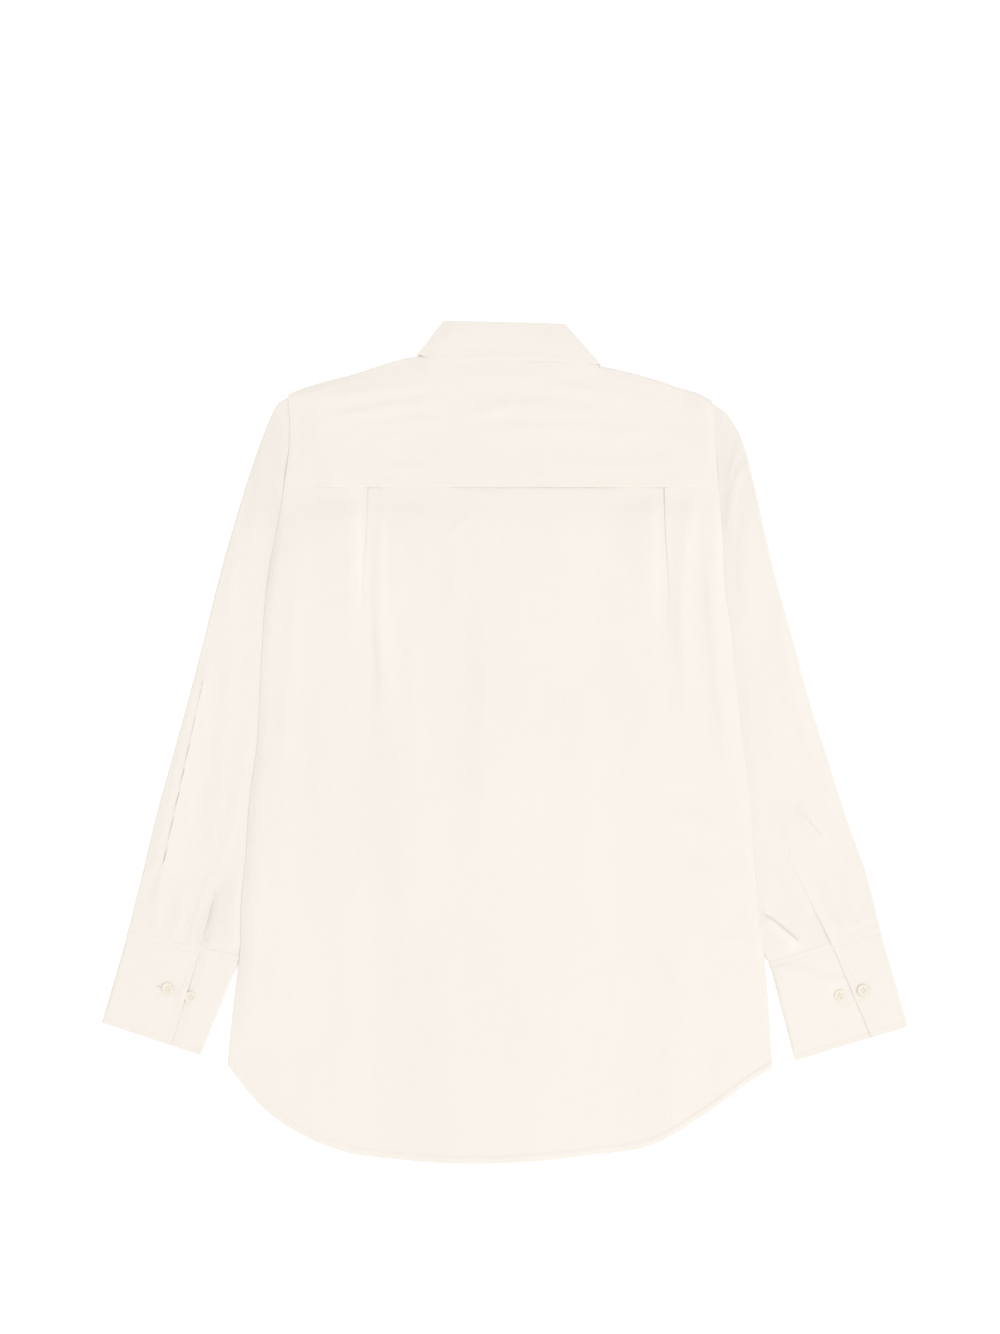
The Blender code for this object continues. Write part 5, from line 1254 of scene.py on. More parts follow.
def build_fall():
    t = np.concatenate([[0.0, 0.004, 0.012, 0.03], np.linspace(0.055, 0.985, 44)])
    s = np.linspace(0.015, 0.985, 60)
    low, high, under = [], [], []

    def stand_top(side, fold_line):
        """The stand's upper edge nearest to each point of the fold line."""
        c = np.clip((fold_line[:, 0] - CENTRE_X) / (FALL_SIDE[side][1][0] - CENTRE_X), 0.0, 1.0)
        _, top = stand_edge(side, c)
        return top

    a, b = fall_edge("left", t)
    low.append(a); high.append(b); under.append(stand_top("left", b))
    a, b = side_turn("left", *FALL_SIDE["left"], WALL / 2, FALL_BACK_Z - side_drop("left", 0.0, 1.05), 13)
    c, d = side_turn("left", *STAND_SIDE["left"], WALL / 2 + COLLAR_LIFT, STAND_BACK_Z - side_drop("left", 0.0, 0.7), 13)
    low.append(a); high.append(b); under.append(d)
    lx = mix(FALL_SIDE["left"][0][0], FALL_SIDE["right"][0][0], s)
    ly = mix(FALL_SIDE["left"][0][1], FALL_SIDE["right"][0][1], s)
    hx = mix(FALL_SIDE["left"][1][0], FALL_SIDE["right"][1][0], s)
    hy = mix(FALL_SIDE["left"][1][1], FALL_SIDE["right"][1][1], s)
    edge = np.minimum(1.0, 8.0 * np.minimum(s, 1.0 - s))
    ly = ly - np.maximum(ly - FALL_EDGE_Y, 0.0) * edge
    ly = ly + 0.35 * noise(lx, ly * 0.0, 34.0, 1.0, 2)
    long = abs(hx[-1] - hx[0])
    back_z = FALL_BACK_Z - side_drop("left", s * long, 1.05) - side_drop("right", (1.0 - s) * long, 1.05)
    under_z = STAND_BACK_Z - side_drop("left", s * long, 0.7) - side_drop("right", (1.0 - s) * long, 0.7)
    low.append(np.stack([lx, ly, back_z], -1)); high.append(np.stack([hx, hy, back_z], -1))
    ux = mix(STAND_SIDE["left"][1][0], STAND_SIDE["right"][1][0], s)
    uy = mix(STAND_SIDE["left"][1][1], STAND_SIDE["right"][1][1], s)
    under.append(np.stack([ux, uy, under_z], -1))
    a, b = side_turn("right", *FALL_SIDE["right"], FALL_BACK_Z - side_drop("right", 0.0, 1.05), WALL / 2, 13)
    c, d = side_turn("right", *STAND_SIDE["right"], STAND_BACK_Z - side_drop("right", 0.0, 0.7), WALL / 2 + COLLAR_LIFT, 13)
    low.append(a); high.append(b); under.append(d)
    a, b = fall_edge("right", t[::-1])
    low.append(a); high.append(b); under.append(stand_top("right", b))
    low, high, under = np.concatenate(low), np.concatenate(high), np.concatenate(under)
    # The fold line is eased so that the turn over the stand reads as one.
    shares = np.array([0.0, 0.008, 0.025, 0.06, 0.11, 0.155, 0.2, 0.28, 0.36, 0.44, 0.52, 0.6, 0.68, 0.76, 0.84, 0.9, 0.95, 0.985])
    face = low[None] + (high - low)[None] * shares[:, None, None]
    # A soft swell across the leaf, so that it isn't a flat plate.
    swell = np.sin(math.pi * np.clip(shares, 0.0, 1.0))[:, None]
    upper = (low[:, 2] > (WALL / 2 + FALL_BACK_Z) / 2)[None, :]
    face[..., 2] += np.where(upper, 0.45 * swell + 0.16 * noise(face[..., 0], face[..., 1], 30.0, 14.0, 5), 0.0)
    run_in = shares[:, None] * np.linalg.norm(high - low, axis=1)[None, :]
    # The free edge comes down onto the yoke.
    edge_z = low[:, 2] - 0.80 * np.clip(low[:, 2] - 3.2, 0.0, 1.0)
    flat_part = slice(len(t) + 13, len(t) + 13 + len(s))
    edge_z[flat_part] = np.maximum(edge_z[flat_part], yoke_surface(lx, ly) + 0.45)
    face[..., 2] -= np.where(upper, ease_off(run_in, 15.0) * (low[:, 2] - edge_z)[None, :], 0.0)
    aim = high - low
    aim[:, 2] = 0.0
    aim /= np.maximum(np.linalg.norm(aim, axis=1, keepdims=True), 1e-9)
    turn = []
    p0, p3 = face[-1] + aim * 0.1, under + aim * 0.3
    room = np.sum((high - p3) * aim, axis=1, keepdims=True)
    p1, p2 = p0 + aim * 0.5, p3 + aim * np.maximum(room - 0.3, 0.4)
    for u in np.linspace(0.0, 1.0, 12):
        turn.append((1 - u) ** 3 * p0 + 3 * u * (1 - u) ** 2 * p1 + 3 * u**2 * (1 - u) * p2 + u**3 * p3)
    return np.concatenate([face, np.stack(turn)], 0)


fall_grid = build_fall()
length_along = np.r_[0.0, np.cumsum(np.linalg.norm(np.diff(fall_grid[6], axis=0), axis=1))]
fall_grain = np.stack([np.broadcast_to(length_along, fall_grid.shape[:2]), np.cumsum(np.r_[np.zeros((1, fall_grid.shape[1])), np.linalg.norm(np.diff(fall_grid, axis=0), axis=2)], 0)], -1)
fall_flip = surface_normals(fall_grid)[8, fall_grid.shape[1] // 2, 2] < 0
fall_half = np.full(fall_grid.shape[:2], 0.42)
fall_half[:5] = np.array([0.15, 0.18, 0.23, 0.3, 0.37])[:, None]
fall_piece = shell("collar_fall_cloth", fall_grid, thick=fall_half, low=fall_half, grain=fall_grain, flip=bool(fall_flip))
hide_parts("collar_fall")


# ------------------------------------------------------------------ sleeves
# Sharp creases, where the cloth is doubled over itself: from, to, how far the
# cloth laps, the half width drawn in, and the height of the lap.
CREASES = {
    "left": (
        ((-286.4, 59.0), (-326.0, -124.0), 4.4, 5.5, 1.15),
    ),
    "right": (
        ((246.5, -163.0), (279.0, -189.0), 7.2, 7.0, 2.4),
        ((283.0, -66.0), (303.0, -92.0), 3.2, 5.0, 0.7),
    ),
}


def overlapped(x, y, z, start, end, lap, half, raised):
    dx, dy = end[0] - start[0], end[1] - start[1]
    length = math.hypot(dx, dy)
    ux, uy = dx / length, dy / length
    # The lap lies on top on the right of the line's direction.
    nx, ny = -uy, ux
    along = (x - start[0]) * ux + (y - start[1]) * uy
    off = (x - start[0]) * nx + (y - start[1]) * ny
    fade = ease((along + 6.0) / 14.0) * ease((length + 6.0 - along) / 14.0)
    inside = np.abs(off) < half
    shift = np.where(inside, -lap / 2.0 * np.sin(math.pi * off / half), 0.0) * fade
    on_top = 1.0 - ease((off + half / 2.0) / half)
    reach = np.exp(-(((np.minimum(off + half / 2.0, 0.0)) / 9.0) ** 2))
    return x + nx * shift, y + ny * shift, z + raised * on_top * reach * fade


def sleeve_ends(side, at):
    table = SLEEVE[side]
    rows = np.arange(len(table))
    return [cubic(at, rows, table[:, k]) for k in range(4)]


def sleeve_top(side, x, y, e_outer):
    """The upper layer's middle surface, before its edges turn."""
    sign = sign_of(side)
    clear = sign * (x - body_edge(side, y)) - 1.0
    free = 1.0 - ease_off(clear, 5.0 if side == "left" else 8.0)
    crown = 0.20 * ease(e_outer / 12.0)
    if side == "right":
        crown = crown + 0.65 * ease(e_outer / 15.0) * np.exp(-(((y - 20.0) / 95.0) ** 2))
    beside = np.where(clear < 0.0, ease_off(-clear, 10.0), ease_off(clear, 34.0))
    z = WALL / 2 + LAYER + free * (
        crown + fold_height(SLEEVE_FOLDS[side], x, y) + 0.30 * noise(x, y, 26.0, 90.0, 4 if side == "left" else 7) + 0.14 * noise(x, y, 12.0, 34.0, 3)
    )
    z = z + ride_up(side, y) * beside
    return z


def sleeve_grid(side):
    sign = sign_of(side)
    # Stations from inside the armhole to inside the cuff, about 3 mm apart.
    at = np.concatenate([np.linspace(0.0, 10.0, 150)[:-1], np.linspace(10.0, 11.0, 32)])
    before = [sleeve_ends(side, at - 0.2), sleeve_ends(side, at + 0.2)]
    ox, oy, ix, iy = sleeve_ends(side, at)
    tx, ty = before[1][2] - before[0][2], before[1][3] - before[0][3]
    long = np.hypot(tx, ty)
    nx, ny = sign * ty / long, -sign * tx / long
    run = np.hypot(ix - ox, iy - oy)
    ux, uy = (ix - ox) / run, (iy - oy) / run
    square = np.minimum(at, 1.0)
    nx, ny = mix(ux, nx, square), mix(uy, ny, square)
    size = np.hypot(nx, ny)
    nx, ny = nx / size, ny / size
    bow = np.interp(at, BOW_AT, BOW)

    def ring(shares):
        s = shares[None, :]
        ex, ey = ix[:, None], iy[:, None]
        ax, ay = ox[:, None], oy[:, None]
        vx, vy = ex - nx[:, None] * bow[:, None], ey - ny[:, None] * bow[:, None]
        much = np.minimum(bow / 10.0, 1.0)[:, None]
        line = mix(ax, ex, s), mix(ay, ey, s)
        curve = (
            (1 - s) ** 2 * ax + 2 * s * (1 - s) * vx + s**2 * ex,
            (1 - s) ** 2 * ay + 2 * s * (1 - s) * vy + s**2 * ey,
        )
        x, y = mix(line[0], curve[0], much), mix(line[1], curve[1], much)
        near = np.maximum(0.0, 1.0 - at)[:, None] ** 2
        seam = body_edge(side, y) - sign * 4.0 * near  # a little inside the armhole
        x = mix(x, seam, near)
        return x, y

    # Shares are closer together at the two folds.
    def clustered(count, edge):
        t = np.linspace(0.0, 1.0, count)
        return mix(t, 0.5 - 0.5 * np.cos(math.pi * t), edge)

    top_s = clustered(84, 0.7)
    low_s = clustered(46, 0.75)[::-1][1:-1]
    tx_, ty_ = ring(top_s)
    bx_, by_ = ring(low_s)
    width = run[:, None]
    e_out_t, e_in_t = top_s[None, :] * width, (1.0 - top_s[None, :]) * width
    e_out_b, e_in_b = low_s[None, :] * width, (1.0 - low_s[None, :]) * width
    top = sleeve_top(side, tx_, ty_, e_out_t)
    low = WALL / 2 + 0.12 * (1.0 + noise(bx_, by_, 30.0, 60.0, 5)) * ease(e_out_b / 20.0) * ease(e_in_b / 20.0)
    # Between the body's layers at the armhole, and into the cuff's at the end.
    armhole = ease_off(at[:, None], 1.1)
    edge = body_edge(side, ty_)
    beside = sign * (tx_ - edge)
    tuck = ease_off(beside - 1.0, 9.0) * ease(ty_ / 1.0 - 250.0)
    top = mix(top, 1.75, tuck)
    low = mix(low, 0.90, ease_off(sign * (bx_ - body_edge(side, by_)) - 1.0, 9.0) * ease(by_ - 250.0))
    cuff = ease((at[:, None] - 10.78) / 0.18)
    rise = ease((at[:, None] - 10.30) / 0.65)
    corner_o, corner_i, _, _, lap_top, _ = CUFF[side]
    on_overlap = ease_off(top_s[None, :] - lap_top + 0.015, 0.03)
    top = top + 0.95 * on_overlap * rise * (1.0 - cuff)
    top = mix(top, mix(1.72, 2.72, on_overlap), cuff)
    low = mix(low, 0.5, cuff)
    middle = 1.15 + 0.45 * rise
    roll_t = edge_roll(e_out_t, 1.3) * edge_roll(e_in_t, 3.0)
    roll_b = edge_roll(e_out_b, 1.3) * edge_roll(e_in_b, 3.0)
    top = middle + (top - middle) * roll_t
    low = middle + (low - middle) * roll_b
    for crease in CREASES[side]:
        tx_, ty_, top = overlapped(tx_, ty_, top, *crease)
    x = np.concatenate([tx_, bx_], 1)
    y = np.concatenate([ty_, by_], 1)
    z = np.concatenate([top, low], 1)
    grid = np.stack([x, y, z], -1)
    # A few millimetres on, inside the cuff.
    ends = [np.array(CUFF[side][k]) for k in range(4)]
    down = (ends[2] + ends[3] - ends[0] - ends[1]) / 2.0
    down /= np.linalg.norm(down)
    tail = grid[-1:] + np.array([down[0], down[1], 0.0]) * np.array([1.2, 3.0, 5.0])[:, None, None]
    grid = np.concatenate([grid, tail], 0)
    # Cloth lengths along and around, for the weave.
    around = np.concatenate([top_s * 150.0, 150.0 + (1.0 - low_s) * 150.0])
    along = np.r_[0.0, np.cumsum(np.linalg.norm(np.diff((grid[:, 0] + grid[:, len(top_s) - 1]) / 2.0, axis=0), axis=1))]
    grain = np.stack(np.broadcast_arrays(around[None, :], along[:, None]), -1)
    return grid, grain, len(top_s)


sleeve_grids = {}
for side in ("left", "right"):
    grid, grain, top_count = sleeve_grid(side)
    normal = surface_normals(grid, True)
    flip = bool(normal[60, top_count // 2, 2] < 0)
    sleeve_grids[side] = (grid, top_count, flip)
    piece = shell("sleeve_cloth_" + side, grid, closed=True, grain=grain, flip=flip)
    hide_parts("sleeve_" + side)

# -------------------------------------------------------------------- cuffs
CUFF_UPPER_Z = 2.72
CUFF_UNDER_TOP_Z = 1.72
cuff_grids = {}


def cuff_place(side, run, d, z, push=0.0):
    """A point run mm across from the outer edge, d of the way down."""
    o0, i0, o1, i1 = (np.array(CUFF[side][k]) for k in range(4))
    a = o0 + (o1 - o0) * d
    b = i0 + (i1 - i0) * d
    width = float(np.linalg.norm(b - a))
    u = (b - a) / width
    p = a + u * (run + push)
    return (p[0], p[1], z), width


def build_cuff(side):
    lap_top, lap_end = CUFF[side][4:]
    under = [b for b in CUFF_BUTTONS if b[0] == side and b[4] == "under"][0]
    depth = float(np.linalg.norm(np.array(CUFF[side][2]) - np.array(CUFF[side][0])))
    downs = np.concatenate([[-0.6, -0.2, 0.5, 1.5, 3.0, 4.6, 5.4, 6.4], np.linspace(8.5, depth - 8.5, 36), depth - np.array([6.4, 5.4, 4.6, 3.0, 1.5, 0.5, 0.2, 0.0])])
    rows, kinds = [], []
    for down in downs:
        d = down / depth
        _, width = cuff_place(side, 0.0, d, 0.0)
        lap = width * mix(lap_top, lap_end, d)
        inset = LAYER / 2 + WALL / 2
        outer_in = (CUFF_UPPER_Z - WALL / 2) / 2 + WALL / 2
        row = []
        # the overlap, from its free edge out to the outer fold
        steps = np.concatenate([[0.0, 0.3, 1.0, 2.4, 4.2, 5.4, 6.6], np.linspace(8.6, lap - outer_in, 26)])
        for step in steps:
            (x, y, z), _ = cuff_place(side, lap - step, d, CUFF_UPPER_Z)
            near = math.hypot(x - under[2], y - under[3])
            bump = 1.45 * float(ease_off(near - 6.5, 11.0))
            edge = min(down + 0.6, depth - down, step)
            swell = 0.30 * float(ease((edge - 5.6) / 9.0)) - 0.08 * math.exp(-(((edge - 5.1) / 0.7) ** 2))
            # The free edge curls up a little on the left cuff, down on the right.
            curl = (0.10 if side == "left" else -0.18) * math.exp(-((step / 3.4) ** 2))
            z += bump * (0.35 + 0.65 * float(ease(step / 6.0))) + swell + curl + 0.14 * float(noise(x, y, 16.0, 22.0, 2))
            row.append((x, y, z))
        middle = (CUFF_UPPER_Z + WALL / 2) / 2
        radius = (CUFF_UPPER_Z - WALL / 2) / 2
        for k in range(1, 8):
            angle = math.pi * k / 8.0
            row.append(cuff_place(side, outer_in - radius * math.sin(angle), d, middle + radius * math.cos(angle))[0])
        for share in np.linspace(0.0, 1.0, 40):
            row.append(cuff_place(side, mix(outer_in, width - inset, share), d, WALL / 2)[0])
        for k in range(1, 5):
            angle = math.pi * k / 5.0
            row.append(
                cuff_place(side, width - inset + LAYER / 2 * math.sin(angle), d, WALL / 2 + LAYER / 2 - LAYER / 2 * math.cos(angle))[0]
            )
        end = lap - CUFF_UNDERLAP
        shown = np.concatenate([np.linspace(width - inset, end + 8.6, 30), end + np.array([6.6, 5.4, 4.2, 2.4, 1.0, 0.3, 0.0])])
        for run in shown:
            x, y, z = cuff_place(side, run, d, CUFF_UNDER_TOP_Z)[0]
            open_part = float(ease((run - lap - 2.0) / 7.0))
            edge = min(down + 0.6, depth - down)
            if side == "right":  # one soft fold slants over the underlap
                past = down - 4.5 - 0.67 * (97.0 - run)
                climb = float(ease((past + 7.0) / 13.0) * ease_off(past - 6.0, 44.0))
                clear = float(ease((math.hypot(x - under[2], y - under[3]) - 6.5) / 9.0))
                z += 1.3 * clear * climb * float(ease((run - lap) / 8.0) * ease((down + 2.0) / 9.0) * ease((width - run) / 9.0) * ease((depth - down) / 12.0))
            z += open_part * (0.25 * float(ease((edge - 5.6) / 9.0)) - 0.12 * math.exp(-(((edge - 5.1) / 0.7) ** 2)) + 0.12 * (1.0 + float(noise(x, y, 16.0, 22.0, 6))))
            row.append((x, y, z))
        rows.append(row)
    return np.array(rows), downs, len(steps)


for side in ("left", "right"):
    grid, downs, overlap_count = build_cuff(side)
    normal = surface_normals(grid)
    flip = bool(normal[20, 12, 2] < 0)
    cuff_grids[side] = (grid, downs, overlap_count, flip)
    along = np.cumsum(np.r_[np.zeros((1, grid.shape[1])), np.linalg.norm(np.diff(grid, axis=0), axis=2)], 0)
    across = np.cumsum(np.concatenate([np.zeros((grid.shape[0], 1)), np.linalg.norm(np.diff(grid, axis=1), axis=2)], 1), 1)
    piece = shell("cuff_cloth_" + side, grid, half=0.36, grain=np.stack([across, along], -1), flip=flip)
    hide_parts("cuff_" + side)

# ----------------------------------------------------------------- plackets
placket_grids = {}


def height_over(side, x, y):
    """The sleeve's upper layer under each point: a plane through the nodes near it."""
    sleeve, top_count, _ = sleeve_grids[side]
    nodes = sleeve[:, :top_count].reshape(-1, 3)
    found = np.empty(x.size)
    for k, (px, py) in enumerate(zip(x.ravel(), y.ravel())):
        away = (nodes[:, 0] - px) ** 2 + (nodes[:, 1] - py) ** 2
        near = np.argpartition(away, 16)[:16]
        weight = np.exp(-away[near] / 8.0)[:, None]
        plane = np.stack([np.ones(16), nodes[near, 0] - px, nodes[near, 1] - py], 1)
        found[k] = np.linalg.lstsq(plane * weight, nodes[near, 2] * weight[:, 0], rcond=None)[0][0]
    return found.reshape(x.shape)


for side in ("left", "right"):
    (lx, ly), (hx, hy) = PLACKET[side]
    length = math.hypot(hx - lx, hy - ly)
    ux, uy = (hx - lx) / length, (hy - ly) / length
    out = np.array((-uy, ux) if side == "left" else (uy, -ux))
    runs = np.concatenate([[-2.5, 0.0, 1.5], np.linspace(4.0, length - 9.0, 24), length - np.array([7.0, 5.5, 4.0, 2.5, 1.2, 0.4, 0.0])])
    shares = np.array([0.0, 0.02, 0.08, 0.18, 0.3, 0.5, 0.7, 0.82, 0.92, 0.98, 1.0])
    grid = np.zeros((len(runs), len(shares), 3))
    for i, run in enumerate(runs):
        # The top end comes to a point in the middle of the strip.
        tip = max(0.0, (run - (length - 6.5)) / 6.5)
        for j, share in enumerate(shares):
            s = mix(share, 0.5, tip * 0.9)
            x = lx + ux * run + out[0] * PLACKET_WIDTH * s
            y = ly + uy * run + out[1] * PLACKET_WIDTH * s
            grid[i, j, :2] = (x, y)
    x, y = grid[..., 0], grid[..., 1]
    share = np.array(shares)[None, :]
    # Its free edge stands over the slit, so it is carried from 4 mm further in.
    inwards = np.maximum(0.34 - share, 0.0) * PLACKET_WIDTH
    top = height_over(side, x + out[0] * inwards, y + out[1] * inwards)
    to_cuff = ease((length - 4.0 - runs[:, None]) / (length * 0.6))
    stands = 0.21 + (0.90 if side == "left" else 0.40) * ease_off(share - 0.05, 0.5) * to_cuff
    stands = stands * ease((runs[:, None] + 2.0) / 6.0)
    grid[..., 2] = top + stands + 0.03 * noise(x, y, 7.0, 7.0, 3)
    normal = surface_normals(grid)
    flip = bool(normal[10, 5, 2] < 0)
    placket_grids[side] = (grid, runs, shares, flip)
    piece = shell("placket_cloth_" + side, grid, half=0.18, grain=grid[..., :2], flip=flip)
    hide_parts("sleeve_placket_" + side)


# ------------------------------------------------------------------ buttons
def button_mesh():
    """A four-hole shirt button: raised rim, dished middle, rounded edge."""
    build = bmesh.new()
    radius = BUTTON_WIDTH / 2.0
    profile = [
        (0.0, 0.74), (1.0, 0.74), (2.0, 0.77), (2.9, 0.84), (3.5, 0.98), (4.0, 1.10), (4.5, 1.16),
        (5.0, 1.13), (5.4, 0.99), (5.62, 0.76), (radius, 0.48), (5.6, 0.22), (5.3, 0.06), (4.8, 0.0), (0.0, 0.0),
    ]
    steps = 56
    rings = []
    for r, z in profile:
        if r == 0.0:
            rings.append([build.verts.new((0.0, 0.0, z))])
        else:
            rings.append([build.verts.new((r * math.cos(2 * math.pi * k / steps), r * math.sin(2 * math.pi * k / steps), z)) for k in range(steps)])
    for a, b in zip(rings[:-1], rings[1:]):
        for k in range(steps):
            if len(a) == 1:
                build.faces.new((a[0], b[k], b[(k + 1) % steps]))
            elif len(b) == 1:
                build.faces.new((a[k], b[0], a[(k + 1) % steps]))
            else:
                build.faces.new((a[k], b[k], b[(k + 1) % steps], a[(k + 1) % steps]))
    bmesh.ops.recalc_face_normals(build, faces=build.faces)
    mesh = bpy.data.meshes.new("button_blank")
    build.to_mesh(mesh)
    build.free()
    blank = bpy.data.objects.new("button_blank", mesh)
    bpy.context.scene.collection.objects.link(blank)
    cut = bmesh.new()
    for sx in (-1, 1):
        for sy in (-1, 1):
            bmesh.ops.create_cone(
                cut, cap_ends=True, segments=20, radius1=0.52, radius2=0.52, depth=4.0,
                matrix=Matrix.Translation((sx * 1.25, sy * 1.25, 0.5)),
            )
    cutter_mesh = bpy.data.meshes.new("button_holes")
    cut.to_mesh(cutter_mesh)
    cut.free()
    cutter = bpy.data.objects.new("button_holes", cutter_mesh)
    bpy.context.scene.collection.objects.link(cutter)
    holes = blank.modifiers.new("holes", "BOOLEAN")
    holes.operation = "DIFFERENCE"
    holes.solver = "EXACT"
    holes.object = cutter
    bpy.context.view_layer.update()
    graph = bpy.context.evaluated_depsgraph_get()
    done = bpy.data.meshes.new_from_object(blank.evaluated_get(graph))
    bpy.data.objects.remove(blank, do_unlink=True)
    bpy.data.objects.remove(cutter, do_unlink=True)
    points = np.array([v.co[:] for v in done.vertices])
    faces = [list(p.vertices) for p in done.polygons]
    bpy.data.meshes.remove(done)
    return points, faces


BUTTON_POINTS, BUTTON_FACES = button_mesh()


def thread_loops(turn, top, bottom):
    """Two bars of thread through the four holes, sunk at their ends."""
    lines = []
    for side in (-1.25, 1.25):
        for nudge in (-0.24, 0.0, 0.24):
            path = [
                (-1.30, side + nudge, bottom),
                (-1.22, side + nudge, top - 0.2),
                (-0.80, side + nudge, top + 0.12),
                (0.0, side + nudge * 0.8, top + 0.24),
                (0.80, side + nudge, top + 0.12),
                (1.22, side + nudge, top - 0.2),
                (1.30, side + nudge, bottom),
            ]
            lines.append(np.array(path))
    points, faces, total = [], [], 0
    for path in lines:
        run = np.gradient(path, axis=0)
        run /= np.linalg.norm(run, axis=1, keepdims=True)
        across = np.array([0.0, 1.0, 0.0])
        for p, t in zip(path, run):
            lift = np.cross(t, across)
            for k in range(6):
                angle = 2 * math.pi * k / 6
                points.append(p + 0.26 * (across * math.cos(angle) + lift * math.sin(angle)))
        count = len(path)
        for i in range(count - 1):
            for k in range(6):
                faces.append([total + i * 6 + k, total + i * 6 + (k + 1) % 6, total + (i + 1) * 6 + (k + 1) % 6, total + (i + 1) * 6 + k])
        faces.append([total + k for k in range(6)][::-1])
        faces.append([total + (count - 1) * 6 + k for k in range(6)])
        total += count * 6
    points = np.array(points)
    c, s = math.cos(turn), math.sin(turn)
    points[:, :2] = points[:, :2] @ np.array([[c, s], [-s, c]])
    return points, faces


def object_from(name, points, faces, material):
    mesh = bpy.data.meshes.new(name)
    mesh.from_pydata((np.asarray(points) * MM).tolist(), [], faces)
    mesh.validate(verbose=False)
    mesh.polygons.foreach_set("use_smooth", np.ones(len(mesh.polygons), bool))
    mesh.update()
    piece = bpy.data.objects.new(name, mesh)
    bpy.context.scene.collection.objects.link(piece)
    mesh.materials.append(material)
    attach(piece, "root")
    return piece


def set_sharp(piece, degrees=38.0):
    mesh = piece.data
    build = bmesh.new()
    build.from_mesh(mesh)
    for edge in build.edges:
        if len(edge.link_faces) == 2 and edge.calc_face_angle(0.0) > math.radians(degrees):
            edge.smooth = False
    build.to_mesh(mesh)
    build.free()


def button(node, x, y, z_bottom, face_up=True, tilt=(0.0, 0.0), turn=0.4, squash=1.0):
    """A button that stands for its CAD node, with its thread."""
    points = BUTTON_POINTS.copy()
    points[:, 2] *= squash
    thread, thread_faces = thread_loops(0.0, 0.76 * squash, -0.5)
    c, s = math.cos(turn), math.sin(turn)
    spin = np.array([[c, s, 0.0], [-s, c, 0.0], [0.0, 0.0, 1.0]])
    made = []
    for p in (points, thread):
        p = p @ spin
        if not face_up:
            p = p * np.array([1.0, -1.0, -1.0]) + np.array([0.0, 0.0, 1.3 * squash])
        p = p + np.outer(p[:, 0], (0.0, 0.0, tilt[0])) + np.outer(p[:, 1], (0.0, 0.0, tilt[1]))
        made.append(p + np.array([x, y, z_bottom]))
    disc = object_from(node + "_disc", made[0], BUTTON_FACES, SHELL)
    set_sharp(disc)
    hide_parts(node)
    object_from(node + "_thread", made[1], thread_faces, THREAD)
    return disc


button("button_collar", CENTRE_X, STAND_BUTTON_Y, 0.35, face_up=False, turn=0.2)
for n in range(FRONT_BUTTONS):
    button(f"button_front_{n + 1}", CENTRE_X, FIRST_BUTTON_Y - n * BUTTON_SPACING, 0.35, face_up=False, turn=0.1 + 0.37 * n)
for side, number, x, y, layer in CUFF_BUTTONS:
    z = CUFF_UPPER_Z + 0.35 + 0.42 if layer == "upper" else CUFF_UNDER_TOP_Z + 0.45 + 0.05
    button(f"button_cuff_{side}_{number}", x, y, z, turn=0.3 + number * 0.5 + (0.8 if side == "left" else 0.0), tilt=(0.02, -0.015))


# -------------------------------------------------------------- buttonholes
def buttonhole(name, x, y, z, angle, length=13.6, width=1.3, face=1.0):
    """A worked buttonhole: a ring of close bars round a slit."""
    points, faces, total = [], [], 0
    c, s = math.cos(angle), math.sin(angle)
    straight = length - width
    outline = 2 * straight + math.pi * width
    count = int(outline / 0.42)
    for n in range(count):
        d = outline * n / count
        if d < straight:
            px, py, a = -straight / 2 + d, width / 2, math.pi / 2
        elif d < straight + math.pi * width / 2:
            t = (d - straight) / (width / 2)
            a = math.pi / 2 - t
            px, py = straight / 2 + width / 2 * math.cos(a), width / 2 * math.sin(a)
        elif d < 2 * straight + math.pi * width / 2:
            px, py, a = straight / 2 - (d - straight - math.pi * width / 2), -width / 2, -math.pi / 2
        else:
            t = (d - 2 * straight - math.pi * width / 2) / (width / 2)
            a = -math.pi / 2 - t
            px, py = -straight / 2 + width / 2 * math.cos(a), width / 2 * math.sin(a)
        ox, oy = math.cos(a), math.sin(a)
        # each bar lies across the ring, a flat lozenge 1.1 mm long
        for reach, rise in ((-0.56, -0.10), (-0.28, 0.14), (0.28, 0.14), (0.56, -0.10)):
            for k, (across, up) in enumerate(((-0.17, -0.06), (0.17, -0.06), (0.0, 0.12))):
                lx = px + ox * reach - oy * across
                ly = py + oy * reach + ox * across
                points.append((x + lx * c - ly * s, y + lx * s + ly * c, z + face * (rise + up)))
        for ring in range(3):
            for k in range(3):
                a0, b0 = total + ring * 3 + k, total + ring * 3 + (k + 1) % 3
                faces.append([a0, b0, b0 + 3, a0 + 3])
        faces.append([total + 2, total + 1, total])
        faces.append([total + 9, total + 10, total + 11])
        total += 12
    return object_from(name, points, faces, THREAD)


# ----------------------------------------------------------------- stitches
sewn = {}

# hem, yoke and back
i_hem = np.interp(5.4, HEM_STEPS, np.arange(len(HEM_STEPS)))
cols = np.linspace(3.0, back_grid.shape[1] - 4.0, 700)
sewn["back"] = stitches("back_stitching", [line_on(back_grid, i_hem, cols, up=HALF + 0.01)], radius=0.15)
yoke_low = [0.0, 0.35, 0.9, 1.8, 3.2, 5.0, 7.4]
i_yoke = np.interp(2.8, yoke_low, np.arange(7))
cols = np.linspace(2.0, yoke_grid.shape[1] - 3.0, 500)
lines = [line_on(yoke_grid, i_yoke, cols, up=0.25)]
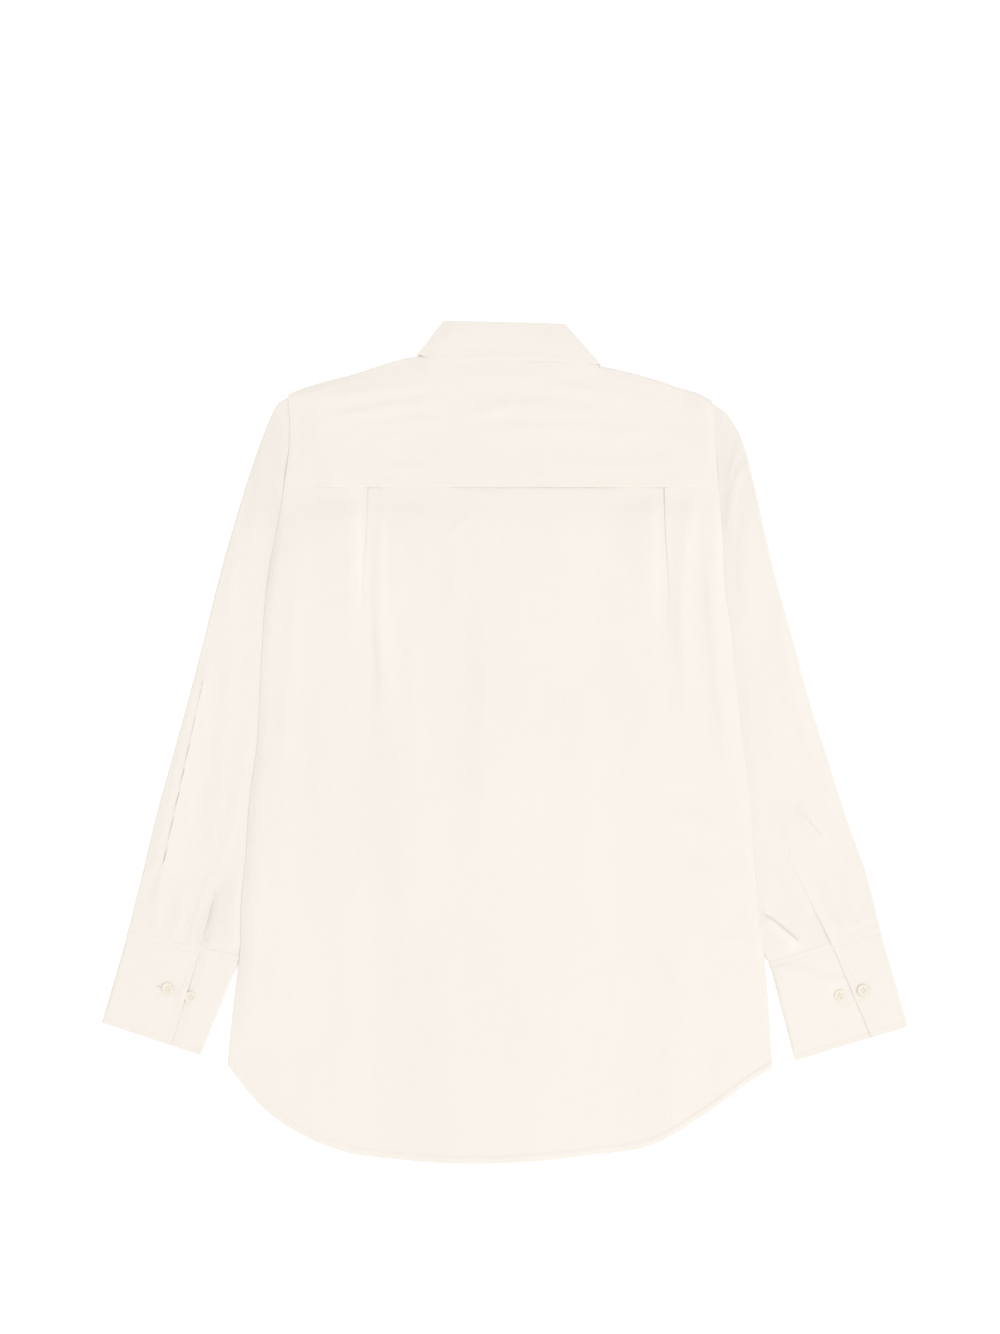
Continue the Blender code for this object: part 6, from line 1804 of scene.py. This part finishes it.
# the front edge of the yoke, seen from below
flap_row = yoke_rows + 8 + 6.6
for lo, hi in ((2.0, float(yl.shape[1] - 1 - corner_l) - 1.0), (float(yl.shape[1] - 1 + corner_r) + 1.0, yoke_grid.shape[1] - 3.0)):
    lines.append(line_on(yoke_grid, flap_row, np.linspace(lo, hi, 160), up=0.25))
sewn["yoke"] = stitches("yoke_stitching", lines)

for side in ("left", "right"):
    grid = front_grids[side]
    cols = np.linspace(3.0, grid.shape[1] - 4.0, 380)
    sewn["front_" + side] = stitches("front_stitching_" + side, [line_on(grid, i_hem, cols, up=HALF + 0.05, flip=True)])
for side in ("left", "right"):
    grid = band_grids[side]
    rows = np.linspace(2.0, grid.shape[0] - 3.0, 500)
    made = []
    for off in (-9.0, 9.0):
        j = np.interp(off, np.array([-14.0, -13.7, -13.0, -11.8, -10.2, -8.0, -5.0, -2.0, 0.0, 2.0, 5.0, 8.0, 10.2, 11.8, 13.0, 13.7, 14.0]), np.arange(17))
        if side == "right":
            made.append(line_on(grid, rows, j, up=0.42, flip=True))
    if not made:
        made.append(line_on(grid, rows, np.interp(9.0, [8.0, 10.2], [11.0, 12.0]), up=0.42))
    sewn["band_" + side] = stitches("band_stitching_" + side, made)

# cuffs: 5 mm in from every edge that shows
for side in ("left", "right"):
    grid, downs, overlap, flip = cuff_grids[side]
    row_at = lambda mm: np.interp(mm, downs, np.arange(len(downs)))
    depth = downs[-1]
    edge_col = np.interp(5.2, [0.0, 0.3, 1.0, 2.4, 4.2, 5.4, 6.6], np.arange(7))
    last = grid.shape[1] - 1
    made = []
    rows = np.linspace(row_at(4.4), row_at(depth - 5.0), 120)
    made.append(line_on(grid, rows, edge_col, up=0.36, flip=flip))
    cols = np.linspace(edge_col, last - 8.0, 420)
    made.append(line_on(grid, row_at(4.4), cols, up=0.36, flip=flip))
    made.append(line_on(grid, row_at(depth - 5.0), cols, up=0.36, flip=flip))
    sewn["cuff_" + side] = stitches("cuff_stitching_" + side, made)
    g, runs, shares, pflip = placket_grids[side]
    made = []
    rows = np.linspace(1.0, len(runs) - 6.0, 90)
    for share in (0.12, 0.86):
        made.append(line_on(g, rows, np.interp(share, shares, np.arange(len(shares))), up=0.18, flip=pflip))
    box = np.interp(runs[-1] - 20.0, runs, np.arange(len(runs)))
    made.append(line_on(g, box, np.linspace(2.2, 7.6, 20), up=0.18, flip=pflip))
    sewn["placket_" + side] = stitches("placket_stitching_" + side, made)

# collar: 5 mm in from the free edge, and along the stand's lower edge
made = []
fall_run = fall_grain[:, :, 1]
cols = np.linspace(3.0, fall_grid.shape[1] - 4.0, 620)
col_index = np.arange(fall_grid.shape[1])
row_of_5 = np.array([np.interp(5.0, fall_run[:14, j], np.arange(14)) for j in col_index])
made.append(line_on(fall_grid, np.interp(cols, col_index, row_of_5), cols, up=0.42, flip=bool(fall_flip)))
for start, stop in ((3.0, 3.0),):
    for j in (3.6, fall_grid.shape[1] - 4.6):
        rows = np.linspace(float(np.interp(j, col_index, row_of_5)), 15.0, 60)
        made.append(line_on(fall_grid, rows, j, up=0.42, flip=bool(fall_flip)))
sewn["fall"] = stitches("collar_fall_stitching", made)
cols = np.linspace(3.0, stand_grid.shape[1] - 4.0, 460)
made = [line_on(stand_grid, 2.0, cols, up=0.42, flip=bool(stand_flip)), line_on(stand_grid, 2.0, cols, up=0.42, flip=not bool(stand_flip))]
sewn["stand"] = stitches("collar_stand_stitching", made)

# buttonholes of the cuffs, the stand and the buttonhole band
for side, number, x, y, layer in CUFF_BUTTONS:
    if layer != "upper":
        continue
    o0, i0, o1, i1 = (np.array(CUFF[side][k]) for k in range(4))
    across = (i0 - o0) / np.linalg.norm(i0 - o0)
    shift = -3.7 if side == "left" else -0.6
    sewn[f"hole_cuff_{side}"] = buttonhole(
        f"buttonhole_cuff_{side}", x + across[0] * shift, y + across[1] * shift, CUFF_UPPER_Z + 0.36 + 0.17, math.atan2(across[1], across[0]), width=1.0
    )
sewn["hole_stand"] = buttonhole("buttonhole_stand", CENTRE_X + 1.5, STAND_BUTTON_Y, float(front_z("right", CENTRE_X, 300.0)) - 0.42, 0.0, face=-1.0)
for n in range(FRONT_BUTTONS):
    sewn[f"hole_front_{n + 1}"] = buttonhole(
        f"buttonhole_front_{n + 1}", CENTRE_X, FIRST_BUTTON_Y - n * BUTTON_SPACING - 1.0, WALL / 2 + BUTTONHOLE_SIDE_LIFT - 0.42, math.pi / 2, face=-1.0
    )

# ------------------------------------------------------------------- band stitching and buttonholes, gathered per side and not used further
for side in ("left", "right"):
    with_band = [sewn["band_" + side]]
    if side == "right":
        with_band += [sewn[f"hole_front_{n + 1}"] for n in range(FRONT_BUTTONS)]

# -------------------------------------------------- floor, lights and camera
floor_mesh = bpy.data.meshes.new("floor")
floor_mesh.from_pydata([(-9, -9, 0), (9, -9, 0), (9, 9, 0), (-9, 9, 0)], [], [(0, 1, 2, 3)])
floor = bpy.data.objects.new("floor", floor_mesh)
bpy.context.scene.collection.objects.link(floor)
paper = bpy.data.materials.new("pale_floor")
paper.use_nodes = True
paper_shader = paper.node_tree.nodes["Principled BSDF"]
paper_shader.inputs["Base Color"].default_value = (0.955, 0.955, 0.955, 1.0)
paper_shader.inputs["Roughness"].default_value = 0.9
paper_shader.inputs["Specular IOR Level"].default_value = 0.1
paper_shader.inputs["Emission Color"].default_value = (1.0, 1.0, 1.0, 1.0)
paper_shader.inputs["Emission Strength"].default_value = 0.24
floor_mesh.materials.append(paper)

scene = bpy.context.scene
world = bpy.data.worlds.new("soft_studio")
world.use_nodes = True
world.node_tree.nodes["Background"].inputs["Color"].default_value = (1.0, 1.0, 1.0, 1.0)
world.node_tree.nodes["Background"].inputs["Strength"].default_value = 0.995
scene.world = world
scene.view_settings.view_transform = "Standard"
scene.view_settings.look = "None"
scene.view_settings.exposure = 0.0
scene.view_settings.gamma = 1.0

AZIMUTH, ELEVATION, DISTANCE = -43.0, 36.0, 8.6
lamp = bpy.data.lights.new("key", "AREA")
lamp.shape = "RECTANGLE"
lamp.size, lamp.size_y = 3.0, 3.0
lamp.energy = 186.0
lamp.color = (1.0, 1.0, 1.0)
key = bpy.data.objects.new("key", lamp)
scene.collection.objects.link(key)
aim = Vector((
    math.cos(math.radians(ELEVATION)) * math.cos(math.radians(AZIMUTH)),
    math.cos(math.radians(ELEVATION)) * math.sin(math.radians(AZIMUTH)),
    math.sin(math.radians(ELEVATION)),
))
key.location = aim * DISTANCE
key.rotation_mode = "QUATERNION"
key.rotation_quaternion = aim.to_track_quat("Z", "Y")

camera_data = bpy.data.cameras.new("camera")
camera_data.lens = 85.0
camera_data.sensor_width = 36.0
camera_data.clip_start, camera_data.clip_end = 0.05, 50.0
camera = bpy.data.objects.new("camera", camera_data)
camera.location = (-0.0043, 0.0713, 2.992)
camera.rotation_euler = (0.0, 0.0, 0.0)
scene.collection.objects.link(camera)
scene.camera = camera
